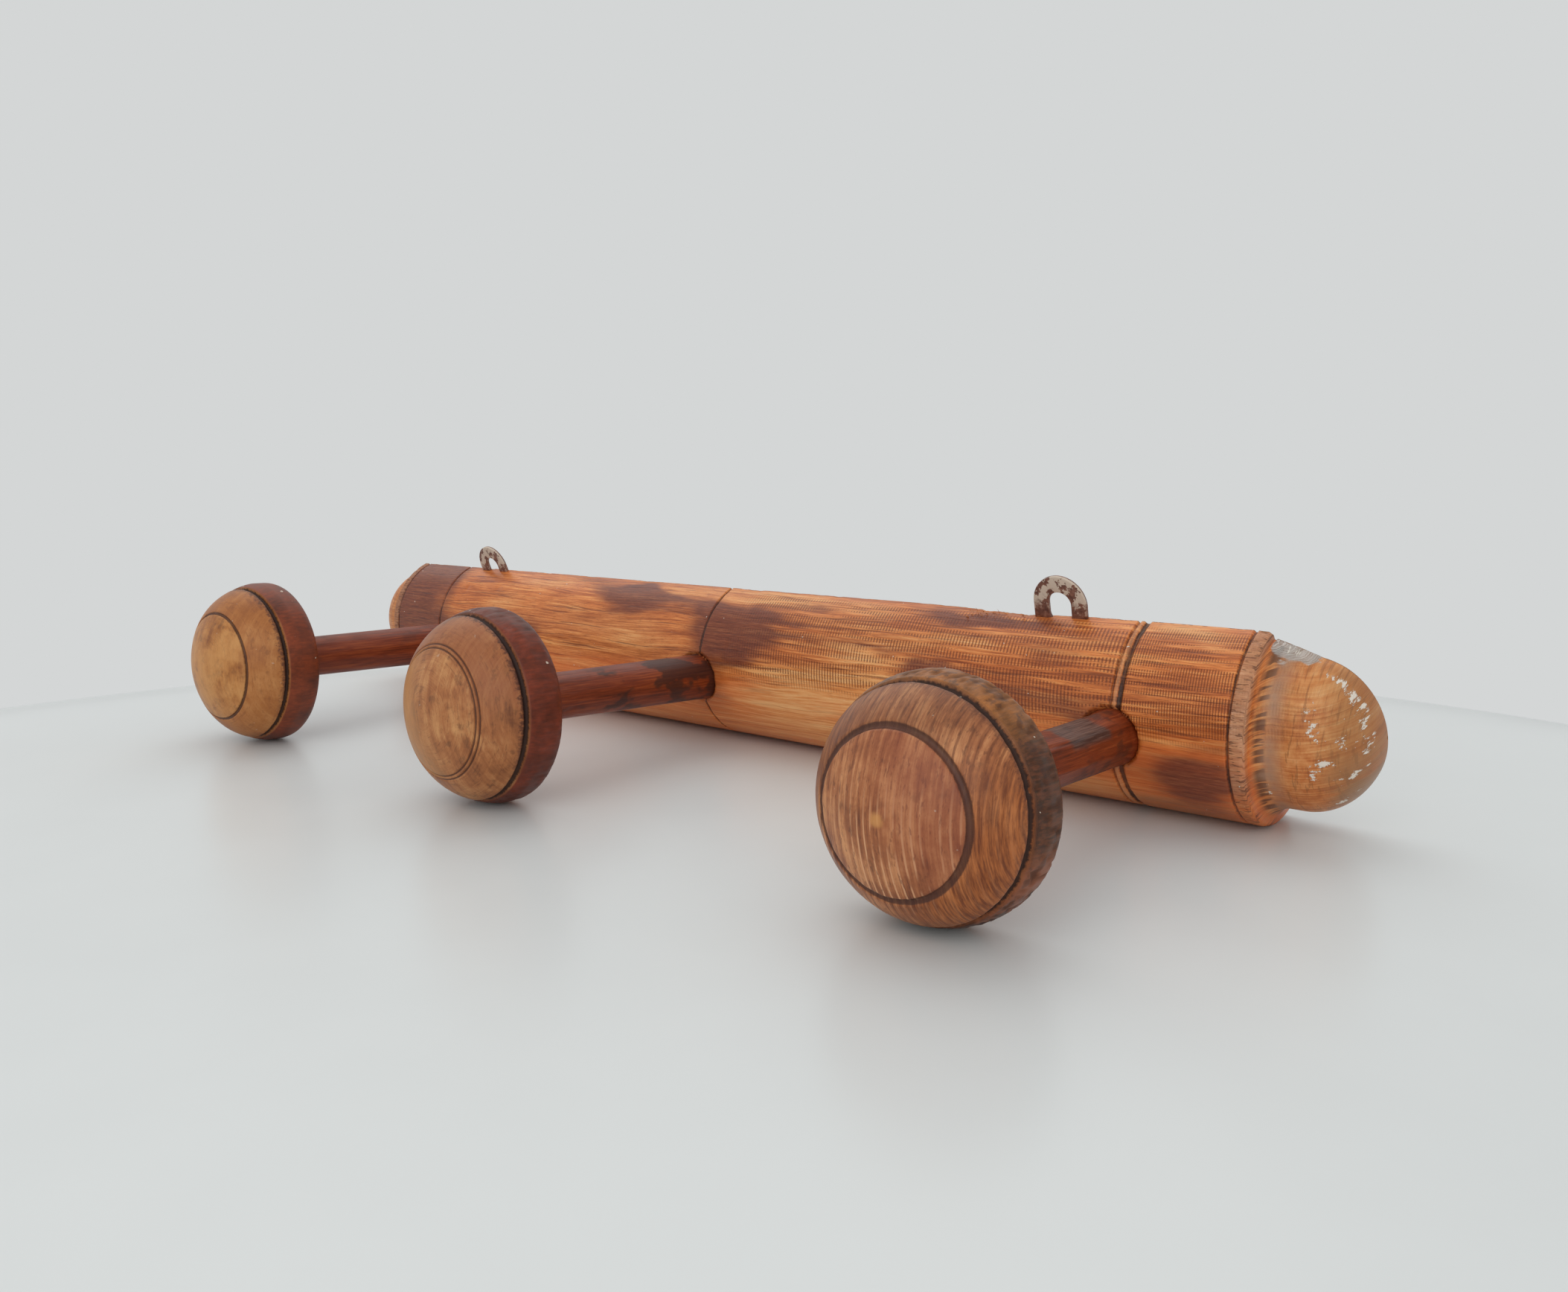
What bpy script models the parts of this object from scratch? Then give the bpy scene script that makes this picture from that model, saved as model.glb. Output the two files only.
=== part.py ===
"""Turned peg rail with three mushroom knobs, lying tipped forward on its knobs."""

import math

import bmesh
import bpy
from mathutils import Matrix

# Lengths are in metres and angles in degrees.
GAP = 0.0003  # clearance left between two pieces that meet
FLUSH = 0.0003  # how far pegs, plates and screws stay below the flat back

# Rail: half of a turned round, its flat back towards the wall.
RAIL_RADIUS = 0.0280
RING_SPACING = 0.156
RING_WIDTH = 0.0013
RING_DEPTH = 0.0007
WIDE_RING_WIDTH = 0.0020
TWIN_RING_OFFSET = 0.0024
COLLAR_AT = 0.1871
COLLAR_BAND = 0.0043  # from the collar's groove to its end
COLLAR_ROUND = 0.0012
COLLAR_EDGE_RADIUS = 0.0268
COVE_LENGTH = 0.0052
DOME_RADIUS = 0.0221
DOME_STRAIGHT = 0.0036
DOME_LENGTH = 0.0176
HALF_TURN_STEPS = 27

COLLAR_END = COLLAR_AT + COLLAR_BAND

# The rail rests on its round side and tips forward by a whole number of its facets.
REST_TILT = 3 * 180 / HALF_TURN_STEPS

# Pegs: dowels glued into the rail near its rings, each running a little out of square.
PEG_OFF_RING = (0.0080, -0.0005, -0.0019)
PEG_LEAN = (2.8, -1.7, 1.3)
PEG_DROP = 0.0049  # peg axis below the rail's axis
PEG_RADIUS = 0.0081
PEG_TIP_RADIUS = 0.0075
PEG_STRAIGHT = 0.0017  # length left untapered in front of the rail
PEG_REACH = 0.1074  # from the upright plane through the rail's axis to the knob
PEG_CHAMFER = 0.0006

# Knobs: depths run along the peg from the knob's flat back.
KNOB_RADII = (0.0292, 0.0295, 0.0284)
KNOB_CORNER = 0.0042
BAND_IN = 0.0078
RIM_GROOVE_IN = 0.0131
RIM_GROOVE_WIDTH = 0.0014
RIM_GROOVE_DEPTH = 0.0010
RIM_SHARE = 0.945  # rim radius over band radius
FACE_GROOVE_IN = 0.0238
FACE_GROOVE_SHARE = 0.66
FACE_GROOVE_WIDTH = 0.0013
FACE_GROOVE_DEPTH = 0.0007
FACE_BULGE = 0.0011
CAP_HEIGHT = 0.0060
SOCKET_DEPTH = 0.016

# Hanger plates: flat steel let into the back, with the loop standing above the rail.
HANGER_OFF_RING = (0.0188, -0.0246)
HANGER_TURN = (0, 5)
HANGER_RISE = (0.0021, 0.0041)  # middle of the loop's arch above the rail's top edge
HANGER_HALF_WIDTH = 0.0083
HANGER_LENGTH = 0.025  # from the middle of the arch to the lower end
HANGER_THICKNESS = 0.0014
ARCH_STRETCH = 1.05
LOOP_HALF_WIDTH = 0.00355
LOOP_STRAIGHT = 0.003

# Countersunk screws, two down each plate.
SCREW_DOWN = (0.0120, 0.0195)  # below the middle of the arch
SCREW_HEAD_RADIUS = 0.0030
SCREW_HEAD_DEPTH = 0.0014
SCREW_RADIUS = 0.0015
SCREW_LENGTH = 0.014
SCREW_TIP = 0.004
SLOT_WIDTH = 0.0008
SLOT_DEPTH = 0.0006
SLOT_TURNS = (20, 75, -35, 50)


def arc(start, end, bulge, steps):
    """Points from start to end on a circle that stands bulge off their chord, to its left."""
    dx, dy = end[0] - start[0], end[1] - start[1]
    chord = math.hypot(dx, dy)
    radius = (chord * chord / 4 + bulge * bulge) / (2 * bulge)
    half = math.asin(chord / 2 / radius)
    points = []
    for step in range(steps + 1):
        angle = -half + 2 * half * step / steps
        along = chord / 2 + radius * math.sin(angle)
        off = radius * math.cos(angle) - radius + bulge
        points.append((
            start[0] + (dx * along - dy * off) / chord,
            start[1] + (dy * along + dx * off) / chord,
        ))
    return points


def notch(at, radius, width, depth):
    """Three points of a V groove in a turned outline."""
    return [(at - width / 2, radius), (at, radius - depth), (at + width / 2, radius)]


def material(name, colour, roughness, metallic=0.0):
    made = bpy.data.materials.new(name)
    made.use_nodes = True
    made.diffuse_color = (*colour, 1.0)
    shader = made.node_tree.nodes["Principled BSDF"]
    shader.inputs["Base Color"].default_value = (*colour, 1.0)
    shader.inputs["Roughness"].default_value = roughness
    shader.inputs["Metallic"].default_value = metallic
    return made


def empty(name, parent=None, location=(0, 0, 0), turn=(0, 0, 0)):
    made = bpy.data.objects.new(name, None)
    made.empty_display_size = 0.02
    place(made, parent, location, turn)
    return made


def place(made, parent, location=(0, 0, 0), turn=(0, 0, 0)):
    bpy.context.scene.collection.objects.link(made)
    made.parent = parent
    made.location = location
    made.rotation_euler = [math.radians(angle) for angle in turn]


def solid(name, bm, parent, finish=None, location=(0, 0, 0), turn=(0, 0, 0)):
    """One object from a bmesh. Without a finish it is a cutter and isn't rendered."""
    bmesh.ops.remove_doubles(bm, verts=bm.verts, dist=1e-7)
    bmesh.ops.recalc_face_normals(bm, faces=bm.faces)
    mesh = bpy.data.meshes.new(name)
    bm.to_mesh(mesh)
    bm.free()
    mesh.shade_smooth()
    mesh.set_sharp_from_angle(angle=math.radians(30))
    made = bpy.data.objects.new(name, mesh)
    place(made, parent, location, turn)
    if finish:
        mesh.materials.append(finish)
    else:
        made.hide_render = True
        made.display_type = "WIRE"
    return made


def turned(outline, steps):
    """A round solid about its own Y axis, from (distance towards -Y, radius) points."""
    bm = bmesh.new()
    verts = [bm.verts.new((0, -at, -radius)) for at, radius in outline]
    edges = [bm.edges.new(pair) for pair in zip(verts, verts[1:])]
    bmesh.ops.spin(
        bm, geom=verts + edges, axis=(0, 1, 0), cent=(0, 0, 0),
        angle=2 * math.pi, steps=steps, use_merge=True,
    )
    return bm


def half_turned(outline, steps):
    """Half of a round solid about X, its flat face on y = 0 and its round side at -Y."""
    bm = bmesh.new()
    verts = [bm.verts.new((at, 0, radius)) for at, radius in outline]
    edges = [bm.edges.new(pair) for pair in zip(verts, verts[1:])]
    bmesh.ops.spin(
        bm, geom=verts + edges, axis=(1, 0, 0), cent=(0, 0, 0),
        angle=math.pi, steps=steps,
    )
    bmesh.ops.remove_doubles(bm, verts=bm.verts, dist=1e-7)
    rim = [edge for edge in bm.edges if edge.is_boundary]
    bmesh.ops.contextual_create(bm, geom=rim)
    return bm


def slab(outline, back, front):
    """A plate from an (x, z) outline, between y = back and y = front."""
    bm = bmesh.new()
    face = bm.faces.new([bm.verts.new((x, back, z)) for x, z in outline])
    grown = bmesh.ops.extrude_face_region(bm, geom=[face])
    moved = [item for item in grown["geom"] if isinstance(item, bmesh.types.BMVert)]
    bmesh.ops.translate(bm, verts=moved, vec=(0, front - back, 0))
    return bm


def block(size_x, size_y, size_z, centre):
    bm = bmesh.new()
    shape = Matrix.Translation(centre) @ Matrix.Diagonal((size_x, size_y, size_z, 1))
    bmesh.ops.create_cube(bm, size=1, matrix=shape)
    return bm


def cut(target, cutters):
    for cutter in cutters:
        boolean = target.modifiers.new(cutter.name, "BOOLEAN")
        boolean.operation = "DIFFERENCE"
        boolean.solver = "EXACT"
        boolean.object = cutter


def rail_end():
    """Outline of the rail's right end, from the collar's groove to the tip of the dome."""
    dome_from = COLLAR_END + COVE_LENGTH
    points = notch(COLLAR_AT, RAIL_RADIUS, RING_WIDTH, RING_DEPTH)
    points += arc((COLLAR_END - COLLAR_ROUND, RAIL_RADIUS), (COLLAR_END, COLLAR_EDGE_RADIUS), 0.0003, 3)
    for step in range(1, 6):
        angle = math.pi / 2 * step / 5
        points.append((
            COLLAR_END + COVE_LENGTH * (1 - math.cos(angle)),
            COLLAR_EDGE_RADIUS - (COLLAR_EDGE_RADIUS - DOME_RADIUS) * math.sin(angle),
        ))
    for step in range(9):
        angle = math.pi / 2 * step / 8
        points.append((
            dome_from + DOME_STRAIGHT + DOME_LENGTH * math.sin(angle),
            DOME_RADIUS * math.cos(angle),
        ))
    return points


def rail_outline():
    right = rail_end()
    left = [(-at, radius) for at, radius in reversed(right)]
    rings = notch(-RING_SPACING, RAIL_RADIUS, RING_WIDTH, RING_DEPTH)
    rings += notch(0, RAIL_RADIUS, RING_WIDTH, RING_DEPTH)
    rings += notch(RING_SPACING - TWIN_RING_OFFSET / 2, RAIL_RADIUS, RING_WIDTH, RING_DEPTH)
    rings += notch(RING_SPACING + TWIN_RING_OFFSET / 2, RAIL_RADIUS, WIDE_RING_WIDTH, RING_DEPTH)
    return left + rings + right


def knob_outline(radius):
    """Outline of a knob from the bottom of its socket round the back to the cap's middle."""
    socket = PEG_TIP_RADIUS + GAP
    rim = radius * RIM_SHARE
    rim_at = PEG_REACH + RIM_GROOVE_IN
    face = radius * FACE_GROOVE_SHARE
    face_at = PEG_REACH + FACE_GROOVE_IN
    bottom = PEG_REACH + SOCKET_DEPTH
    points = [(bottom, 0), (bottom, socket), (PEG_REACH, socket)]
    for step in range(6):
        angle = math.pi / 2 * step / 5
        points.append((
            PEG_REACH + KNOB_CORNER * (1 - math.cos(angle)),
            radius - KNOB_CORNER * 0.8 * (1 - math.sin(angle)),
        ))
    points += arc((PEG_REACH + BAND_IN, radius), (rim_at - RIM_GROOVE_WIDTH / 2, rim), 0.0001, 2)
    points.append((rim_at, rim - RIM_GROOVE_DEPTH))
    points += arc(
        (rim_at + RIM_GROOVE_WIDTH / 2, rim),
        (face_at - FACE_GROOVE_WIDTH / 2, face + FACE_GROOVE_WIDTH / 3), FACE_BULGE, 5,
    )
    points.append((face_at - FACE_GROOVE_DEPTH / 2, face - FACE_GROOVE_DEPTH / 2))
    cap_at = face_at + FACE_GROOVE_WIDTH / 3
    cap_radius = face - FACE_GROOVE_WIDTH / 2
    return points + arc((cap_at, cap_radius), (cap_at, -cap_radius), CAP_HEIGHT, 12)[:6] + [
        (cap_at + CAP_HEIGHT, 0)
    ]


def reach(outline, angle):
    """How far a round solid reaches along a direction at this angle from its axis."""
    return max(at * math.cos(angle) + radius * math.sin(angle) for at, radius in outline)


def rest_rise(outline):
    """The peg's angle above the table at which its knob just touches it."""
    low, high = -math.pi / 6, math.pi / 6
    height = RAIL_RADIUS - PEG_DROP
    for _ in range(50):
        middle = (low + high) / 2
        lowest = min(at * math.sin(middle) - radius * math.cos(middle) for at, radius in outline)
        low, high = (middle, high) if lowest < -height else (low, middle)
    return (low + high) / 2


def plate_outline(margin=0.0):
    """Outline of a hanger plate about the middle of its arch, grown by a margin."""
    half = HANGER_HALF_WIDTH + margin
    points = []
    for step in range(13):
        angle = math.pi * step / 12
        points.append((half * math.cos(angle), half * ARCH_STRETCH * math.sin(angle)))
    for step in range(13):
        angle = math.pi * (1 + step / 12)
        points.append((half * math.cos(angle), -HANGER_LENGTH + HANGER_HALF_WIDTH + half * math.sin(angle)))
    return points


def loop_outline():
    points = []
    for step in range(11):
        angle = math.pi * step / 10
        points.append((LOOP_HALF_WIDTH * math.cos(angle), LOOP_HALF_WIDTH * ARCH_STRETCH * math.sin(angle)))
    for step in range(11):
        angle = math.pi * (1 + step / 10)
        points.append((LOOP_HALF_WIDTH * math.cos(angle), -LOOP_STRAIGHT + LOOP_HALF_WIDTH * math.sin(angle)))
    return points


def main():
    for old in list(bpy.data.objects):
        bpy.data.objects.remove(old, do_unlink=True)

    rail_finish = material("rail_wood", (0.42, 0.17, 0.055), 0.42)
    peg_finish = material("peg_wood", (0.20, 0.075, 0.04), 0.48)
    pale_finish = material("knob_pale_wood", (0.40, 0.22, 0.10), 0.45)
    oak_finish = material("knob_oak_wood", (0.36, 0.17, 0.07), 0.45)
    plate_finish = material("hanger_steel", (0.16, 0.10, 0.08), 0.50, 0.6)
    screw_finish = material("screw_steel", (0.22, 0.18, 0.15), 0.45, 0.9)

    knobs = [knob_outline(radius) for radius in KNOB_RADII]
    rises = [rest_rise(outline) for outline in knobs]
    front = max(
        reach(outline, math.acos(math.cos(rise) * math.cos(math.radians(lean))))
        for outline, rise, lean in zip(knobs, rises, PEG_LEAN)
    )
    back = RAIL_RADIUS * math.sin(math.radians(REST_TILT))
    rack = empty("rack", location=(0, (front - back) / 2, 0))
    rail_frame = empty("rail_frame", rack, (0, 0, RAIL_RADIUS), (REST_TILT, 0, 0))

    rail = solid("rail", half_turned(rail_outline(), HALF_TURN_STEPS), rail_frame, rail_finish)
    trim = 2 * RAIL_RADIUS
    back_trim = solid(
        "back_trim", block(4 * RING_SPACING, trim, 2 * trim, (0, trim / 2 - FLUSH, 0)), rail_frame
    )

    for index, (off, lean, outline, rise) in enumerate(zip(PEG_OFF_RING, PEG_LEAN, knobs, rises), 1):
        at = RING_SPACING * (index - 2) + off
        axis = empty(
            f"peg_axis_{index}", rack, (at, 0, RAIL_RADIUS - PEG_DROP), (-math.degrees(rise), 0, lean)
        )
        end = PEG_REACH + SOCKET_DEPTH - GAP
        dowel = [
            (-RAIL_RADIUS, 0), (-RAIL_RADIUS, PEG_RADIUS), (RAIL_RADIUS + PEG_STRAIGHT, PEG_RADIUS),
            (PEG_REACH, PEG_TIP_RADIUS),
            (end - PEG_CHAMFER, PEG_TIP_RADIUS), (end, PEG_TIP_RADIUS - PEG_CHAMFER), (end, 0),
        ]
        peg = solid(f"peg_{index}", turned(dowel, 32), axis, peg_finish)
        cut(peg, [back_trim])
        wide = PEG_RADIUS + GAP
        bore = [(-2 * RAIL_RADIUS, 0), (-2 * RAIL_RADIUS, wide), (2 * RAIL_RADIUS, wide), (2 * RAIL_RADIUS, 0)]
        cut(rail, [solid(f"bore_{index}", turned(bore, 32), axis)])
        solid(f"knob_{index}", turned(outline, 36), axis, oak_finish if index == 3 else pale_finish)

    for index, (off, rise, turn) in enumerate(zip(HANGER_OFF_RING, HANGER_RISE, HANGER_TURN), 1):
        at = RING_SPACING * (2 * index - 3) + off
        arch = empty(f"hanger_frame_{index}", rail_frame, (at, 0, RAIL_RADIUS + rise), (0, turn, 0))
        inner = -FLUSH - HANGER_THICKNESS
        plate = solid(f"hanger_plate_{index}", slab(plate_outline(), -FLUSH, inner), arch, plate_finish)
        cutters = [solid(f"loop_{index}", slab(loop_outline(), 0.002, -0.004), arch)]
        recess = solid(f"recess_{index}", slab(plate_outline(GAP), 0.001, inner - GAP), arch)
        pilots = [recess]
        for row, down in enumerate(SCREW_DOWN, 1):
            name = f"{index}{'ab'[row - 1]}"
            head = (0, -FLUSH, -down)
            screw_line = [
                (0, 0), (0, SCREW_HEAD_RADIUS), (SCREW_HEAD_DEPTH, SCREW_RADIUS),
                (SCREW_LENGTH - SCREW_TIP, SCREW_RADIUS), (SCREW_LENGTH, 0),
            ]
            screw = solid(f"screw_{name}", turned(screw_line, 20), arch, screw_finish, head)
            slot = solid(
                f"slot_{name}", block(0.01, 2 * SLOT_DEPTH, SLOT_WIDTH, (0, 0, 0)), arch,
                location=head, turn=(0, SLOT_TURNS[2 * index + row - 3], 0),
            )
            cut(screw, [slot])
            rim = SCREW_HEAD_RADIUS + GAP * 1.5
            slope = (SCREW_HEAD_RADIUS - SCREW_RADIUS) / SCREW_HEAD_DEPTH
            sink = [
                (-0.002, 0), (-0.002, rim), (0, rim),
                (0.003, max(rim - 0.003 * slope, SCREW_RADIUS)), (0.003, 0),
            ]
            cutters.append(solid(f"sink_{name}", turned(sink, 20), arch, location=head))
            pilot = [
                (0, 0), (0, SCREW_RADIUS + GAP), (SCREW_LENGTH + 0.001, SCREW_RADIUS + GAP),
                (SCREW_LENGTH + 0.001, 0),
            ]
            pilots.append(solid(f"pilot_{name}", turned(pilot, 20), arch, location=head))
        cut(plate, cutters)
        cut(rail, pilots)


main()
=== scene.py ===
import bmesh
import bpy
import numpy as np
from mathutils import Matrix, Vector


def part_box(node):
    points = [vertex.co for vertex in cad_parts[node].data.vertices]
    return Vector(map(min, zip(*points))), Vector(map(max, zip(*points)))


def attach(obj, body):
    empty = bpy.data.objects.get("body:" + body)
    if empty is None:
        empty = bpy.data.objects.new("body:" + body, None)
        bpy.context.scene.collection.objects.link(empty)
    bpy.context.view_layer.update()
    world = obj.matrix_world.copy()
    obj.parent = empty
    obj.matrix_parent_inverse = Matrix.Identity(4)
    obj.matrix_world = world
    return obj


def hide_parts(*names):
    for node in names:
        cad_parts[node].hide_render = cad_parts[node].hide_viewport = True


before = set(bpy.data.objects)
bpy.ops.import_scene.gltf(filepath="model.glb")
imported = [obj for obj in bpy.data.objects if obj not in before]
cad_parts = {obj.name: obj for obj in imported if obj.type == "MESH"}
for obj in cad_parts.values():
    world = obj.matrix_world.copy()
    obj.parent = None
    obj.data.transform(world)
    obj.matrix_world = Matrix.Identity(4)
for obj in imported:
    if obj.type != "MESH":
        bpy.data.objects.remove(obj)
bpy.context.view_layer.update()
print("frame loaded:", len(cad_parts), "nodes")


def fade(low, high, value):
    # 0 below low, 1 above high and a smooth S between them
    part = np.clip((value - low) / (high - low), 0, 1)
    return part * part * (3 - 2 * part)


def hump(at, width, value):
    # 1 at the middle, falling away like a bell
    return np.exp(-(((value - at) / width) ** 2))


def groove(away, half):
    # 1 in the middle with a flatter floor and steeper walls than a bell
    return np.exp(-((np.abs(away) / half) ** 3))


def chance(cells, seed):
    # a repeatable number from 0 to 1 for each whole cell
    mixed = cells @ np.array([127.1, 311.7, 74.7]) + seed * 53.3
    return np.modf(np.abs(np.sin(mixed) * 43758.5453))[0]


def mottle(points, size, seed=0):
    # soft noise from -1 to 1: eight cell corners mixed by smoothed distance
    scaled = points / np.asarray(size)
    whole = np.floor(scaled)
    part = scaled - whole
    part = part * part * (3 - 2 * part)
    total = 0
    for corner in np.ndindex(2, 2, 2):
        share = np.prod(np.where(corner, part, 1 - part), axis=-1)
        total = total + share * chance(whole + np.array(corner), seed)
    return total * 2 - 1


def layered(points, size, seed=0, layers=3):
    # mottle added up, each layer half the size and half as strong as the one before
    size = np.asarray(size, float)
    return sum(mottle(points, size / 2**i, seed + 9 * i) / 2**i for i in range(layers)) / 1.6


def spread(low, high, count, focus):
    # stations from low to high, packed closer round each (place, width, gain)
    fine = np.linspace(low, high, 30001)
    weight = 1 + sum(gain * hump(at, width, fine) for at, width, gain in focus)
    total = np.cumsum(weight)
    return np.interp(np.linspace(total[0], total[-1], count), total, fine)


def xyz(x, y, z):
    # three numbers or grids side by side, as points
    return np.stack(np.broadcast_arrays(x, y, z), -1)


def alongLine(points):
    # a polyline as (length so far, first coordinate, second coordinate)
    points = np.array(points)
    length = np.concatenate([[0], np.cumsum(np.hypot(*np.diff(points, axis=0).T))])
    return length, points[:, 0], points[:, 1]


def bow(start, end, bulge, steps=40):
    # a chord pushed out sideways by a parabola of that height
    part = np.linspace(0, 1, steps)[:, None]
    start, end = np.array(start), np.array(end)
    run = end - start
    off = np.array([-run[1], run[0]]) / np.hypot(*run)
    return (start + run * part + off * bulge * 4 * part * (1 - part)).tolist()


def gridFaces(rows, columns, wrap=False, start=0):
    # quads of a rows x columns grid, joined round when wrap is set
    row = np.arange(rows - 1)[:, None] * columns
    column = np.arange(columns if wrap else columns - 1)[None, :]
    ahead = (column + 1) % columns
    corners = [row + column, row + ahead, row + columns + ahead, row + columns + column]
    return np.stack(corners, -1).reshape(-1, 4) + start


def finishPiece(piece, node):
    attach(piece, "root")
    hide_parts(node)
    return piece


def linked(name, data):
    # a new object in the scene that holds the data
    made = bpy.data.objects.new(name, data)
    bpy.context.scene.collection.objects.link(made)
    return made


def weld(mesh, gap, outwards=False):
    # joins points closer than the gap, and can turn every face outwards
    shell = bmesh.new()
    shell.from_mesh(mesh)
    bmesh.ops.remove_doubles(shell, verts=shell.verts, dist=gap)
    if outwards:
        bmesh.ops.recalc_face_normals(shell, faces=shell.faces)
    shell.to_mesh(mesh)
    shell.free()


def store(mesh, name, values):
    # one number for each point of the mesh, or three
    values = np.asarray(values, np.float32).reshape(len(mesh.vertices), -1)
    kind, key = ("FLOAT", "value") if values.shape[1] == 1 else ("FLOAT_VECTOR", "vector")
    mesh.attributes.new(name, kind, "POINT").data.foreach_set(key, values.ravel())


def meshPoints(mesh):
    points = np.empty(len(mesh.vertices) * 3)
    mesh.vertices.foreach_get("co", points)
    return points.reshape(-1, 3)


def buildPiece(name, points, faces, lay, fields, material):
    # mesh from whole arrays, with lay (a place in millimetres) and one number per field at each point
    mesh = bpy.data.meshes.new(name)
    points = np.asarray(points, np.float32).reshape(-1, 3)
    faces = np.asarray(faces, np.int32)
    mesh.vertices.add(len(points))
    mesh.vertices.foreach_set("co", points.ravel())
    mesh.loops.add(faces.size)
    mesh.loops.foreach_set("vertex_index", faces.ravel())
    mesh.polygons.add(len(faces))
    mesh.polygons.foreach_set("loop_start", np.arange(0, faces.size, faces.shape[1], dtype=np.int32))
    mesh.update(calc_edges=True)
    for key, values in {"lay": lay, **fields}.items():
        store(mesh, key, values)
    weld(mesh, 2e-7)
    mesh.shade_smooth()
    mesh.materials.append(material)
    return linked(name, mesh)


class Value:
    # a number on a socket; ordinary maths on it adds Math nodes
    def __init__(self, finish, socket):
        self.finish, self.socket = finish, socket

    def maths(self, operation, *terms):
        return self.finish.add("ShaderNodeMath", {"operation": operation}, dict(enumerate(terms)))

    def __add__(self, other):
        return self.maths("ADD", self, other)

    def __sub__(self, other):
        return self.maths("SUBTRACT", self, other)

    def __rsub__(self, other):
        return self.maths("SUBTRACT", other, self)

    def __mul__(self, other):
        return self.maths("MULTIPLY", self, other)

    def __abs__(self):
        return self.maths("ABSOLUTE", self)

    __radd__, __rmul__ = __add__, __mul__


def tone(red, green, blue):
    # a screen colour from 0 to 255 as linear light
    part = np.array([red, green, blue]) / 255
    return tuple(float(c) for c in np.where(part > 0.04045, ((part + 0.055) / 1.055) ** 2.4, part / 12.92))


class Finish:
    # one material and the nodes in it
    def __init__(self, name):
        self.material = bpy.data.materials.new(name)
        self.material.use_nodes = True
        self.tree = self.material.node_tree
        self.tree.nodes.clear()

    def add(self, kind, settings=None, sockets=None, output=0):
        # any node: its settings first, then the values or links of its sockets
        node = self.tree.nodes.new(kind)
        for key, value in (settings or {}).items():
            setattr(node, key, value)
        for key, value in (sockets or {}).items():
            if isinstance(value, Value):
                self.tree.links.new(value.socket, node.inputs[key])
            else:
                node.inputs[key].default_value = value
        return Value(self, node.outputs[output]) if len(node.outputs) else None

    def fields(self, *names):
        # the numbers kept at each point under these names
        return [self.add("ShaderNodeAttribute", {"attribute_name": name}, output="Fac") for name in names]

    def lay(self):
        place = self.add("ShaderNodeAttribute", {"attribute_name": "lay"}, output="Vector")
        return [self.add("ShaderNodeSeparateXYZ", {}, {0: place}, axis) for axis in "XYZ"]

    def noise(self, place, cells, detail=3.0, rough=0.55, seed=0.0):
        # soft noise from 0 to 1, its size set by the cells in a unit of each coordinate
        scaled = {axis: value * size for axis, value, size in zip("XYZ", place, cells)}
        joined = self.add("ShaderNodeCombineXYZ", {}, scaled)
        return self.add(
            "ShaderNodeTexNoise", {"noise_dimensions": "4D"},
            {"Vector": joined, "W": seed, "Scale": 1.0, "Detail": detail, "Roughness": rough},
        )

    def fade(self, low, high, value):
        # 0 at low, 1 at high and a smooth S between them
        return self.add(
            "ShaderNodeMapRange", {"interpolation_type": "SMOOTHSTEP"},
            {"Value": value, "From Min": low, "From Max": high, "To Min": 0.0, "To Max": 1.0},
        )

    def wave(self, value):
        return value.maths("SINE", value)

    def cap(self, value):
        return value.maths("MINIMUM", self.most(value, 0.0), 1.0)

    def most(self, one, other):
        return one.maths("MAXIMUM", one, other)

    def line(self, value, at, half, soft):
        # 1 on a line at that place, 0 beyond its soft edge
        return 1 - self.fade(half, half + soft, abs(value - at))

    def ramp(self, value, *stops):
        # screen colours along a value, each stop a place and its red, green and blue
        made = self.add("ShaderNodeValToRGB", {}, {0: value})
        elements = made.socket.node.color_ramp.elements
        while len(elements) < len(stops):
            elements.new(0.5)
        for element, (place, *colour) in zip(elements, stops):
            element.position, element.color = place, (*tone(*colour), 1)
        return made

    def mix(self, share, first, second):
        # that share of the second over the first, either of them a socket or a screen colour
        first, second = (c if isinstance(c, Value) else (*tone(*c), 1) for c in (first, second))
        settings = {"data_type": "RGBA", "clamp_factor": True}
        return self.add("ShaderNodeMix", settings, {0: share, 6: first, 7: second}, 2)

    def over(self, colour, *layers):
        # layers laid on one after another, each a share and what it covers with
        for share, cover in layers:
            colour = self.mix(share, colour, cover)
        return colour

    def bump(self, height, strength, distance=0.0003):
        sockets = {"Strength": strength, "Distance": distance, "Height": height}
        return self.add("ShaderNodeBump", {}, sockets)

    def close(self, sockets):
        shader = self.add("ShaderNodeBsdfPrincipled", {}, sockets)
        self.add("ShaderNodeOutputMaterial", {}, {"Surface": shader})
        return self.material

    def varnish(self, colour, rough, coat, coatRough, height, strength):
        # lacquered wood with that relief
        return self.close({
            "Base Color": colour, "Roughness": self.cap(rough), "Coat Weight": self.cap(coat),
            "Coat Roughness": coatRough, "Specular IOR Level": 0.28,
            "Normal": self.bump(height, strength),
        })


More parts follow.
